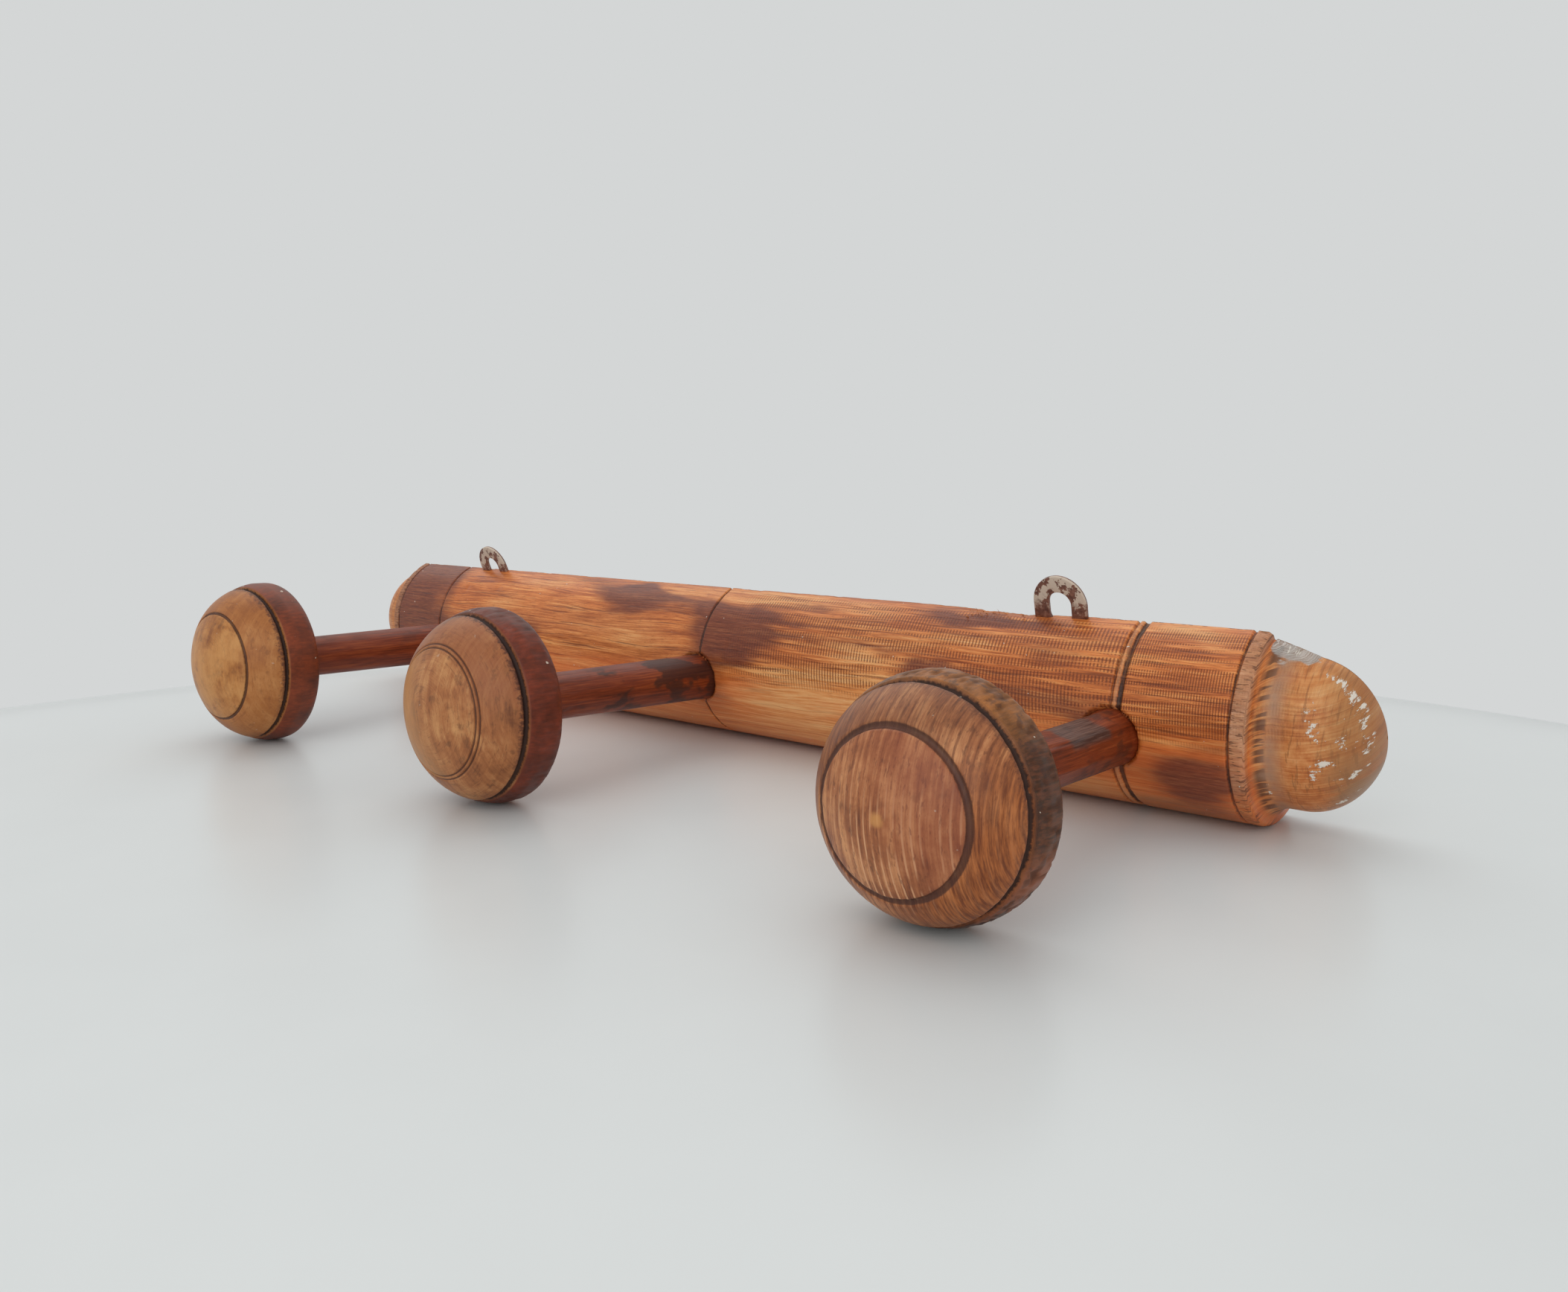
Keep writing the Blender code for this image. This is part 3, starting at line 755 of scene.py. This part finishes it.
knobPlan = {
    "radii": (0.0292, 0.0295, 0.0284),
    "corner": 0.0042,
    "bandIn": 0.0078,
    "rimIn": 0.0131,
    "rimWidth": (0.0014, 0.0017, 0.0018),
    "rimDepth": 0.0010,
    "rimShare": 0.945,
    "faceIn": 0.0238,
    "faceShare": 0.66,
    # grooves round each cap: off the cap's edge, half width, raggedness of the width, depth in mm
    "faceLines": (
        [(0.0, 0.0005, 0.2, 0.63)],
        [(-0.00065, 0.00034, 0.0, 0.40), (0.00065, 0.00034, 0.0, 0.40)],
        [(0.0, 0.00085, 0.2, 0.63)],
    ),
    "bulge": 0.0011,
    "cap": 0.0060,
    "along": 250,
    "round": 188,
    "rough": (0.0, 0.35, 1.0),  # how torn the back band is
    # cracks back from the rim groove: angle, how far they run, depth in mm
    "cracks": (
        [],
        [(1.35, 1.0, 0.5), (1.62, 0.7, 0.4), (1.02, 0.5, 0.35)],
        [(0.25, 1.0, 0.5), (-0.4, 0.8, 0.5), (0.9, 0.5, 0.4)],
    ),
}


def knobProfile(index):
    # outline from the socket's wall round the back, over the band and slope, to the cap's middle
    plan, radius = knobPlan, knobPlan["radii"][index]
    rim, face = radius * plan["rimShare"], radius * plan["faceShare"]
    hole = pegPlan["tipRadius"] + pegPlan["gap"]
    quarter = np.linspace(0, np.pi / 2, 24)
    points = [(pegPlan["socket"], 0.0), (pegPlan["socket"], hole), (0.0006, hole), (0.0, hole + 0.0006)]
    rounded = radius - plan["corner"] * 0.8 * (1 - np.sin(quarter))
    points += list(zip(plan["corner"] * (1 - np.cos(quarter)), rounded))
    points += bow((plan["bandIn"], radius), (plan["rimIn"], rim), 0.0002, 16)
    points += bow((plan["rimIn"] + 0.0002, rim), (plan["faceIn"], face), plan["bulge"], 60)
    part = np.linspace(0, 1, 60)[1:]
    points += list(zip(plan["faceIn"] + plan["cap"] * (1 - (1 - part) ** 2), face * (1 - part)))
    return alongLine(points)


def makeKnob(index, material):
    # the outline turned round the peg's line, then cut across its own surface by grooves, tears and cracks
    plan = knobPlan
    length, profileDeep, profileR = knobProfile(index)
    mouth = length[3]
    rimAt = float(np.interp(plan["rimIn"], profileDeep[3:100], length[3:100]))
    offFace = np.abs(profileDeep - plan["faceIn"]) + np.abs(profileR - plan["radii"][index] * plan["faceShare"])
    faceAt = float(length[np.argmin(offFace)])
    focus = [(rimAt, 0.0016, 5), (faceAt, 0.0014, 5), (mouth + 0.006, 0.012, 0.6), (mouth, 0.0006, 3)]
    station = spread(0, length[-1], plan["along"], focus)
    angle = np.linspace(0, 2 * np.pi, plan["round"], endpoint=False)
    deep, radius = np.interp(station, length, profileDeep), np.interp(station, length, profileR)
    slopeDeep, slopeR = np.gradient(deep, station), np.gradient(radius, station)
    size = np.hypot(slopeDeep, slopeR) + 1e-12
    outDeep, outR = -slopeR / size, slopeDeep / size  # outwards across the outline
    deep, radius, outDeep, outR, station = (
        values[:, None] + 0 * angle for values in (deep, radius, outDeep, outR, station)
    )
    angle = angle + 0 * deep
    around = xyz(radius * np.cos(angle), radius * np.sin(angle), deep) * 1000
    ragged = layered(around, (1.6, 1.6, 1.6), 71 + index)
    width = plan["rimWidth"][index] / 2 * (1 + 0.25 * ragged)
    inward = plan["rimDepth"] * 1000 * groove(station - rimAt, width)
    for away, half, uneven, depth in plan["faceLines"][index]:
        inward += depth * groove(station - faceAt - away, half * (1 + uneven * ragged))
    # torn fibres on the back band
    torn = plan["rough"][index] * (1 - fade(rimAt - 0.0035, rimAt - 0.0008, station))
    torn = torn * fade(mouth + 0.002, mouth + 0.007, station)
    fine = mottle(around, (0.45, 0.45, 2.2), 84 + index)
    pits = fade(-0.1, 0.7, mottle(around, (0.8, 0.8, 4.5), 81 + index) * 0.55 + fine * 0.45)
    inward += torn * 0.48 * pits
    inward += 0.05 * (1 + layered(around, (6, 6, 6), 91 + index))
    for at, run, depth in plan["cracks"][index]:
        wander = 0.03 * mottle(around * [0, 0, 1] + 0.5, (1, 1, 2.5), int(at * 10) + 5)
        across = (angle - at % (2 * np.pi) + wander) * radius / 0.00035
        held = fade(rimAt - 0.011 * run, rimAt - 0.005 * run, station)
        held = held * (1 - fade(rimAt, rimAt + 0.0004, station))
        inward += depth * np.exp(-(across**2)) * held
    fadeOut = fade(mouth, mouth + 0.002, station) * fade(0, 0.0015, radius)
    deep = deep - outDeep * inward / 1000 * fadeOut
    radius = radius - outR * inward / 1000 * fadeOut
    points = roundPeg(index, pegPlan["reach"] + deep, radius, angle)
    points[0], points[-1] = points[0].mean(0), points[-1].mean(0)
    fields = {
        "along": (station - rimAt) * 1000, "face": (station - faceAt) * 1000,
        "torn": np.clip(torn * pits * 1.3, 0, 1),
    }
    faces = gridFaces(*deep.shape, wrap=True)
    piece = buildPiece(f"turnedKnob{index + 1}", points, faces, around, fields, material)
    return finishPiece(piece, f"knob_{index + 1}")


knobTones = [
    {
        "name": "ochreKnob", "low": (134, 76, 34), "middle": (184, 120, 60), "high": (216, 156, 92),
        "band": (114, 50, 24), "stripe": 0.12, "swirl": 0.10, "line": 0.34, "sway": 4.0, "lean": 0.06,
        "stain": 0.5, "scratch": 0.35, "rim": 0.45, "halo": 0.85,
    },
    {
        "name": "oliveKnob", "low": (112, 62, 34), "middle": (166, 104, 60), "high": (200, 144, 92),
        "band": (104, 42, 22), "stripe": 0.16, "swirl": 0.22, "sway": 4.0, "lean": 0.06,
        "stain": 0.5, "scratch": 0.45, "rim": 0.6, "halo": 0.95,
    },
    {
        "name": "oakKnob", "low": (112, 58, 32), "middle": (166, 102, 62), "high": (214, 150, 100),
        "band": (142, 88, 42), "stripe": 0.5, "swirl": 0.04, "line": 0.72, "sway": 1.2, "lean": 0.02,
        "stain": 0.4, "scratch": 0.0, "rim": 0.62, "halo": 0.6,
    },
]


def knobVarnish(index):
    # noise drawn out along the grain, then stains, the back band and the dark of the grooves laid over it
    plan = knobTones[index]
    wood = Finish(plan["name"])
    at = wood.lay()
    x, y, deep = at
    along, face, torn = wood.fields("along", "face", "torn")
    sway = (wood.noise(at, (0.03, 0.04, 0.04), 1.0, 0.5, 1.0 + index) - 0.5) * plan["sway"]
    level = x + sway + y * plan["lean"]
    rows = (level, y, deep)
    stripe = wood.noise(rows, (0.62, 0.022, 0.05), 2.0, 0.55, 2.0 + index)
    onBand = 1 - wood.fade(-1.4, -0.4, along)
    fibre = wood.noise(rows, (2.6 - onBand * 1.2, 0.16 + onBand * 1.2, 0.2), 3.0, 0.62, 5.0 + index)
    blotch = wood.noise(at, (0.09, 0.09, 0.09), 5.0, 0.62, 8.0 + index)
    smudge = wood.noise(at, (0.30, 0.22, 0.3), 3.0, 0.6, 9.0 + index)
    out = x.maths("SQRT", x * x + y * y)
    turned = (out, x, y)
    swirl = wood.noise(turned, (2.6, 0.10, 0.10), 3.0, 0.6, 11.0 + index)
    value = 0.5 + (blotch - 0.5) * 0.85 + (stripe - 0.5) * (0.2 + 0.7 * plan["stripe"])
    value = value + (fibre - 0.5) * (0.18 + 0.25 * plan["stripe"]) + (swirl - 0.5) * plan["swirl"]
    scratch = wood.fade(0.56, 0.64, wood.noise(turned, (1.6, 0.16, 0.16), 4.0, 0.72, 23.0 + index))
    pore = wood.fade(0.57, 0.66, wood.noise(at, (2.2, 0.8, 0.8), 3.0, 0.7, 25.0 + index))
    onCap = wood.fade(-0.4, 0.4, face)
    offCap = 1 - onCap
    dim, bright = ([min(part * share, 255) for part in plan["band"]] for share in (0.62, 1.3))
    backTone = wood.ramp(fibre * 0.4 + blotch * 0.6, (0.34, *dim), (0.5, *plan["band"]), (0.66, *bright))
    layers = [
        (wood.fade(0.56, 0.68, smudge) * plan["stain"], (98, 60, 36)),
        (scratch * plan["scratch"], (92, 54, 34)),
        (pore * 0.3, (84, 48, 32)),
    ]
    if index == 0:
        layers += [(onCap * wood.fade(0.34, 0.6, blotch) * 0.6, (194, 140, 84)), (offCap * 0.45, (146, 82, 42))]
    if index == 1:
        layers += [
            (onCap * wood.fade(6.0, -12.0, x + y * 0.4 + (blotch - 0.5) * 16.0) * 0.5, (190, 134, 72)),
            (offCap * wood.fade(0.38, 0.58, blotch) * wood.fade(-14.0, 10.0, y) * 0.6, (140, 76, 46)),
        ]
    if index == 2:
        beat = wood.wave(level * 3.4 + (blotch - 0.5) * 1.6)
        patchy = wood.fade(0.40, 0.56, wood.noise(rows, (0.25, 0.10, 0.1), 2.0, 0.6, 20.0))
        pale = wood.fade(0.55, 0.95, beat) * patchy * wood.fade(14.0, -8.0, y) * (0.35 + onCap * 0.65)
        dark = wood.fade(-0.45, -0.95, beat + (fibre - 0.5) * 1.2) * (0.4 + patchy * 0.6) * (1 - onCap * 0.7)
        dashes = wood.fade(0.58, 0.64, wood.noise(rows, (1.5, 0.35, 0.35), 2.0, 0.6, 22.0))
        # reddish stain on the cap, a golden side, a dull top and the pale turning centre
        red = onCap * wood.fade(-10.0, 14.0, x + y * 0.5 + (blotch - 0.5) * 20.0)
        gold = offCap * wood.fade(8.0, 24.0, x - y * 0.5 + (blotch - 0.5) * 10.0)
        top = offCap * wood.fade(0.0, 18.0, y - x * 0.7 + (blotch - 0.5) * 14.0)
        centre = 1 - wood.fade(0.7, 2.2, out + (smudge - 0.5) * 2.0)
        layers += [
            (pale * 0.8, (222, 166, 122)),
            (dark * 0.6, (104, 54, 28)),
            (dashes * 0.5, (92, 52, 34)),
            (red * 0.42, (138, 66, 48)),
            (gold * 0.75, wood.ramp(fibre, (0.4, 108, 50, 16), (0.6, 172, 96, 42))),
            (top * 0.5, wood.ramp(fibre, (0.4, 88, 50, 34), (0.6, 138, 86, 54))),
            (centre * 0.7, (206, 146, 84)),
        ]
        shaded = wood.fade(-4.0, 12.0, x - y + (blotch - 0.5) * 12.0)
        smoothed = wood.fade(6.0, 16.0, x) * wood.fade(-4.0, -12.0, y) * wood.fade(0.42, 0.50, blotch)
        backTone = wood.over(
            backTone,
            (shaded * 0.8, wood.ramp(fibre, (0.4, 32, 14, 10), (0.6, 80, 38, 26))),
            (smoothed * 0.85, (146, 84, 54)),
            (wood.fade(0.52, 0.60, smudge) * 0.5, (62, 38, 30)),
        )
    # dark ragged stain in and beside the rim groove, and the grooves of the cap
    fray = (wood.noise(at, (0.9, 1.1, 0.7), 4.0, 0.7, 14.0 + index) - 0.5) * 2.2
    rim = wood.line(along + fray * 0.6, 0.12, plan["rim"], 0.45)
    halo = wood.fade(2.6, 0.9, along + fray * 3.0) * wood.fade(-0.8, 0.2, along)
    halo = halo * wood.fade(-16.0, 12.0, y + x * 0.4) * plan["halo"]
    if index == 1:
        inner = wood.most(wood.line(face, -0.65, 0.10, 0.24), wood.line(face, 0.65, 0.10, 0.24))
    else:
        inner = wood.line(face + fray * 0.22, 0.0, plan["line"], 0.32)
    speck = wood.fade(0.745, 0.76, wood.noise(at, (0.5, 0.5, 0.5), 1.0, 0.5, 17.0 + index)) * (0.3 + onBand)
    layers += [
        (onBand, backTone),
        (torn * 0.55, (70, 40, 26)),
        (halo, (84, 44, 28)),
        (rim * 0.9, (36, 19, 15)),
        (inner * 0.82, (64, 34, 26)),
        (wood.cap(speck) * 0.8, (218, 202, 184)),
    ]
    base = wood.ramp(value, (0.30, *plan["low"]), (0.5, *plan["middle"]), (0.70, *plan["high"]))
    colour = wood.over(base, *layers)
    rough = 0.46 + (blotch - 0.5) * 0.3 + torn * 0.3 + rim * 0.2 + (fibre - 0.5) * 0.15
    height = fibre * (0.2 + 0.5 * plan["stripe"]) + swirl * plan["swirl"] * 0.6 - torn * 0.3
    return wood.varnish(colour, rough, 0.10 - torn, 0.3, height + speck * 0.3 + smudge * 0.1, 0.5)


def makePeg(index, material):
    # a tapered dowel with whittled flats, cut off just below the rail's flat back, closed by shrinking rings
    plan = pegPlan
    start, ahead, side, up = pegLines[index]
    angle = np.linspace(0, 2 * np.pi, plan["round"], endpoint=False)
    ring = np.cos(angle)[:, None] * side + np.sin(angle)[:, None] * up
    foot = toRail(start + plan["radius"] * ring)[:, 1]
    run = (toRail(start + ahead) - toRail(start))[1]
    begin = (-0.0003 - foot) / run
    end = plan["reach"] + plan["socket"] - plan["gap"]
    part = spread(0, 1, plan["along"], [(0.27, 0.06, 1.0), (0.80, 0.08, 0.5)])
    far = begin + (end - begin) * part[:, None]
    straight = railPlan["radius"] + plan["straight"]
    taper = np.clip((far - straight) / (plan["reach"] - straight), 0, 1)
    radius = plan["radius"] + (plan["tipRadius"] - plan["radius"]) * taper
    mm = xyz(radius * np.cos(angle), radius * np.sin(angle), far) * 1000
    facet = np.pi / 7
    flats = radius * (1 - np.cos(facet) / np.cos((angle + 0.2) % (2 * facet) - facet)) * 1000
    inward = 0.10 * (1 + layered(mm, (5, 5, 26), 101 + index)) * (0.4 + 0.3 * index)
    inward = inward + flats * plan["facets"][index]
    inward += 0.05 * (1 + mottle(mm, (0.7, 0.7, 14), 104 + index))
    if index == 2:
        # flat worn along its upper front, and a split down its length
        worn = fade(0.034, 0.042, far) * (1 - fade(0.060, 0.070, far)) * 0.8
        inward += 1000 * np.maximum(radius * np.cos(angle - 1.35) - 0.0068, 0) * worn
        wander = 0.06 * mottle(mm * [0, 0, 1] + 0.5, (1, 1, 9), 7)
        split = np.exp(-(((angle - 0.75 + wander) * radius / 0.0004) ** 2))
        inward += 0.6 * split * fade(0.03, 0.04, far) * (1 - fade(0.09, 0.10, far))
    if index == 1:
        inward += 0.25 * fade(0.2, 0.8, mottle(mm, (1.1, 1.1, 4), 108)) * fade(0.070, 0.095, far)
    inward *= fade(0.026, 0.030, far) * (1 - fade(plan["reach"] - 0.001, plan["reach"] + 0.001, far))
    points = roundPeg(index, far, radius - inward / 1000, angle)
    shares = np.array(plan["lid"])[:, None, None]

    def lid(rim, middle):
        return middle + (rim - middle) * shares

    axis = mm * [0, 0, 1]
    rows = [lid(points[:1], points[0].mean(0)), points, lid(points[-1:], points[-1].mean(0))[::-1]]
    lay = [lid(mm[:1], axis[:1]), mm, lid(mm[-1:], axis[-1:])[::-1]]
    rows, lay = np.concatenate(rows), np.concatenate(lay)
    endGrain = np.zeros(rows.shape[:2])
    endGrain[:len(shares)] = 1
    faces = gridFaces(*endGrain.shape, wrap=True)
    piece = buildPiece(f"dowelPeg{index + 1}", rows, faces, lay, {"endGrain": endGrain}, material)
    return finishPiece(piece, f"peg_{index + 1}")


def pegStain(index):
    # long streaks and fibres, burnt patches over them, and rings on the end grain
    wood = Finish(f"pegStain{index + 1}")
    at = wood.lay()
    x, y, far = at
    endGrain = wood.fields("endGrain")[0]
    streak = wood.noise(at, (0.42, 0.42, 0.022), 4.0, 0.65, 1.0 + index)
    fibre = wood.noise(at, (2.1, 2.1, 0.09), 3.0, 0.6, 4.0 + index)
    blotch = wood.noise(at, (0.12, 0.12, 0.07), 3.0, 0.6, 7.0 + index)
    nearer = (0.02, 0.10, 0.02)[index] * wood.fade(66.0, 36.0, far)
    burnt = wood.fade(0.50, 0.58, blotch + (fibre - 0.5) * 0.12 + nearer - 0.03)
    layers = [(burnt * (0.25, 0.75, 0.55)[index], (44, 26, 22))]
    if index == 2:
        worn = wood.line(far, 51.0, 9.0, 3.0) * wood.fade(4.6, 6.4, y + x * 0.3)
        layers += [(worn * 0.85, wood.ramp(fibre, (0.4, 56, 42, 40), (0.62, 104, 84, 76)))]
    rings = wood.fade(0.45, 0.6, wood.noise((x, y), (1.2, 1.2), 2.0, 0.5, 12.0))
    layers += [(endGrain * 0.8, wood.mix(rings, (132, 88, 56), (92, 56, 36)))]
    plain = wood.ramp(streak * 0.5 + fibre * 0.5, (0.34, 74, 26, 8), (0.5, 122, 48, 18), (0.66, 160, 78, 36))
    colour = wood.over(plain, *layers)
    rough = 0.42 + (blotch - 0.5) * 0.3 + fibre * 0.1 + endGrain * 0.3
    return wood.varnish(colour, rough, 0.1 - endGrain, 0.3, fibre * 0.6 + streak * 0.3, 0.5)


def capsule(half, stretch, foot, steps=48):
    # half round of the arch, then the half round of the foot, as (x, z) points
    top = np.linspace(0, np.pi, steps)
    upper = np.stack([half * np.cos(top), half * stretch * np.sin(top)], -1)
    lower = np.stack([half * np.cos(top + np.pi), foot + half * np.sin(top + np.pi)], -1)
    return np.concatenate([upper, lower])


def slabMesh(name, outline, back, front):
    # an (x, z) outline carried straight from one y to another, with both ends closed
    count = len(outline)
    rows = [xyz(outline[:, 0], y, outline[:, 1]) for y in (back, front)]
    near = np.arange(count)
    ahead = (near + 1) % count
    sides = np.stack([near, ahead, count + ahead, count + near], -1).tolist()
    mesh = bpy.data.meshes.new(name)
    mesh.from_pydata(np.concatenate(rows).tolist(), [], [*sides, near[::-1].tolist(), (near + count).tolist()])
    weld(mesh, 1e-7, outwards=True)
    return mesh


def turnedMesh(name, outline, steps=48):
    # (distance towards -y, radius) points carried round the y axis
    outline = np.array(outline)
    angle = np.linspace(0, 2 * np.pi, steps, endpoint=False)
    points = xyz(outline[:, 1:] * np.cos(angle), -outline[:, :1], outline[:, 1:] * np.sin(angle))
    mesh = bpy.data.meshes.new(name)
    mesh.from_pydata(points.reshape(-1, 3).tolist(), [], gridFaces(len(outline), steps, wrap=True).tolist())
    weld(mesh, 1e-7, outwards=True)
    return mesh


def carve(mesh, cutters, bevel):
    # cutters taken away and the sharp edges rounded, all applied
    made = linked(mesh.name, mesh)
    helpers = [linked(cutter.name, cutter) for cutter in cutters]
    for helper in helpers:
        cutting = made.modifiers.new("cut", "BOOLEAN")
        cutting.object, cutting.operation, cutting.solver = helper, "DIFFERENCE", "EXACT"
    soften = made.modifiers.new("soften", "BEVEL")
    soften.width, soften.segments = bevel, 3
    soften.limit_method, soften.angle_limit = "ANGLE", np.radians(38)
    soften.use_clamp_overlap = True
    bpy.context.view_layer.update()
    done = bpy.data.meshes.new_from_object(made.evaluated_get(bpy.context.evaluated_depsgraph_get()))
    for used in (*helpers, made):
        bpy.data.objects.remove(used)
    return done


def settle(name, mesh, matrix, material, node):
    # the matrix goes into the mesh, so that the object stays at the origin
    store(mesh, "lay", meshPoints(mesh) * 1000)
    mesh.transform(matrix)
    mesh.shade_smooth()
    mesh.set_sharp_from_angle(angle=np.radians(42))
    mesh.materials.clear()
    mesh.materials.append(material)
    return finishPiece(linked(name, mesh), node)


def makeHangers(plateMaterial, screwMaterial):
    # each plate is a capsule with a loop and countersinks cut out; each screw a turned body with a slot
    plan = platePlan
    flush, head, shank, slotHalf = plan["flush"], plan["screwHead"], plan["screwRadius"], plan["slotHalf"]
    rim = head + plan["sinkGap"]
    for index in range(2):
        matrix = plateFrame(index)
        outer = capsule(plan["half"], plan["archStretch"], -plan["length"] + plan["half"])
        loop = capsule(plan["loopHalf"], plan["archStretch"], -plan["loopStraight"])
        cutters = [slabMesh("loop", loop, 0.002, -0.004)]
        for down in plan["screwDown"]:
            sink = turnedMesh("sink", [(-0.002, 0), (-0.002, rim), (0, rim), (0.003, 0.0016), (0.003, 0)])
            sink.transform(Matrix.Translation((0, -flush, -down)))
            cutters.append(sink)
        plate = carve(slabMesh("blank", outer, -flush, -flush - plan["thick"]), cutters, plan["softEdge"])
        node = f"hanger_plate_{index + 1}"
        settle(f"hangerPlate{index + 1}", plate, matrix, plateMaterial, node)
        for row, down in enumerate(plan["screwDown"]):
            thread = [(0.0034 + 0.0009 * i / 2, shank * (1.0 if i % 2 else 0.80)) for i in range(15)]
            outline = [(0, 0), (0, head - 0.0002), (0.00012, head), (0.0014, shank), *thread]
            body = turnedMesh("screw", [*outline, (plan["screwLength"], 0)], 40)
            corners = [(-0.005, -slotHalf), (0.005, -slotHalf), (0.005, slotHalf), (-0.005, slotHalf)]
            slotBlank = slabMesh("slot", np.array(corners), plan["slotDeep"], -plan["slotDeep"])
            turn = np.radians(plan["slotTurns"][2 * index + row])
            slotBlank.transform(Matrix.Rotation(turn, 4, "Y"))
            screw = carve(body, [slotBlank], plan["screwSoftEdge"])
            place = matrix @ Matrix.Translation((0, -flush, -down))
            letter = "ab"[row]
            name, node = f"woodScrew{index + 1}{letter.upper()}", f"screw_{index + 1}{letter}"
            settle(name, screw, place, screwMaterial, node)


def hangerPaint():
    # brown grime with chipped cream paint over its front
    steel = Finish("hangerPaint")
    at = steel.lay()
    y, z = at[1:]
    grime = steel.noise(at, (0.55, 0.55, 0.55), 5.0, 0.65, 2.0)
    scuff = steel.noise(at, (0.34, 0.34, 0.30), 4.0, 0.68, 5.0)
    plain = steel.ramp(grime, (0.35, 84, 48, 38), (0.52, 124, 80, 64), (0.68, 152, 108, 88))
    above = steel.fade(-3.0, 2.0, z + (grime - 0.5) * 12.0) * steel.fade(-0.7, -1.1, y)
    cream = steel.fade(0.485, 0.51, scuff + (grime - 0.5) * 0.2) * above
    return steel.close({
        "Base Color": steel.mix(cream * 0.92, plain, (204, 186, 168)), "Metallic": steel.cap(0.25 - cream),
        "Roughness": steel.cap(0.42 + (grime - 0.5) * 0.5 + cream * 0.15),
        "Normal": steel.bump(cream * 0.6 + grime * 0.5, 0.5),
    })


def screwSteel():
    # dull steel, rougher and browner where the noise is low
    steel = Finish("screwSteel")
    grime = steel.noise(steel.lay(), (1.2, 1.2, 1.2), 4.0, 0.65, 3.0)
    return steel.close({
        "Base Color": steel.ramp(grime, (0.38, 70, 46, 34), (0.52, 122, 104, 92), (0.7, 176, 166, 154)),
        "Metallic": steel.fade(0.35, 0.6, grime), "Roughness": steel.cap(0.62 - grime * 0.4),
        "Normal": steel.bump(grime, 0.4, 0.0002),
    })


stagePlan = {
    "radius": 0.424, "centre": (0.116, -0.164), "edge": 0.006, "thick": 0.024, "round": 256, "cells": 24.0,
}


def makeTable():
    # a round white top with a half-round edge, turned round its centre
    plan = stagePlan
    bend, half = np.linspace(0, np.pi, 14), plan["thick"] / 2
    outline = [(0.0, 0.0), (plan["radius"] * 0.5, 0.0), (plan["radius"] * 0.9, 0.0)]
    outline += list(zip(plan["radius"] - plan["edge"] * (1 - np.sin(bend)), -half + half * np.cos(bend)))
    outline = np.array([*outline, (0.0, -plan["thick"])])
    angle = np.linspace(0, 2 * np.pi, plan["round"], endpoint=False)
    x, y = plan["centre"]
    points = xyz(x + outline[:, :1] * np.cos(angle), y + outline[:, :1] * np.sin(angle), outline[:, 1:])
    white = Finish("tableWhite")
    mark = white.noise(white.lay(), (plan["cells"],) * 3)
    material = white.close({
        "Base Color": white.mix(mark, (215, 218, 218), (220, 223, 223)),
        "Roughness": 0.26 + mark * 0.08, "IOR": 1.45,
    })
    faces = gridFaces(*points.shape[:2], wrap=True)[:, ::-1]
    buildPiece("tableTop", points, faces, points, {}, material)


def areaLamp(name, place, target, size, power, colour):
    lamp = bpy.data.lights.new(name, "AREA")
    lamp.shape, lamp.energy, lamp.color = "RECTANGLE", power, colour
    lamp.size, lamp.size_y = size
    made = linked(name, lamp)
    made.location = place
    made.rotation_euler = (Vector(target) - Vector(place)).to_track_quat("-Z", "Y").to_euler()


def makeLight():
    world = bpy.data.worlds.new("paleWall")
    bpy.context.scene.world = world
    world.use_nodes = True
    back = world.node_tree.nodes["Background"]
    back.inputs["Color"].default_value = (*tone(212, 214, 214), 1)
    back.inputs["Strength"].default_value = 1.0
    areaLamp("windowLamp", (-0.9, 0.75, 1.9), (0, -0.05, 0.02), (2.6, 2.2), 12.5, (1.0, 0.99, 0.97))
    areaLamp("roomLamp", (0.9, -1.9, 1.2), (0, 0, 0.03), (3.2, 2.2), 19.0, (1.0, 0.98, 0.95))
    bpy.context.scene.view_settings.view_transform = "Standard"


cameraPlan = {
    "place": (0.3041, -0.2704, 0.1066), "turn": 0.7120, "down": 0.1646, "roll": -0.0239, "lens": 28.71,
}


def makeCamera():
    # looks along a heading and a dip, then rolls about that direction, all in radians
    plan = cameraPlan
    turn, down, roll = plan["turn"], plan["down"], plan["roll"]
    ahead = Vector((-np.sin(turn) * np.cos(down), np.cos(turn) * np.cos(down), -np.sin(down)))
    right = Vector((np.cos(turn), np.sin(turn), 0))
    up = right.cross(ahead)
    right, up = right * np.cos(roll) + up * np.sin(roll), up * np.cos(roll) - right * np.sin(roll)
    lens = bpy.data.cameras.new("camera")
    lens.lens, lens.sensor_width, lens.clip_start = plan["lens"], 36, 0.01
    camera = linked("camera", lens)
    matrix = Matrix((right, up, -ahead)).transposed().to_4x4()
    matrix.translation = plan["place"]
    camera.matrix_world = matrix
    bpy.context.scene.camera = camera


makeCamera()
makeLight()
makeTable()
print("camera, light and table set")
makeRail(railVarnish())
print("rail turned")
for number in range(3):
    makeKnob(number, knobVarnish(number))
    makePeg(number, pegStain(number))
    print("peg and knob", number + 1, "made")
makeHangers(hangerPaint(), screwSteel())
print("hangers and screws made")
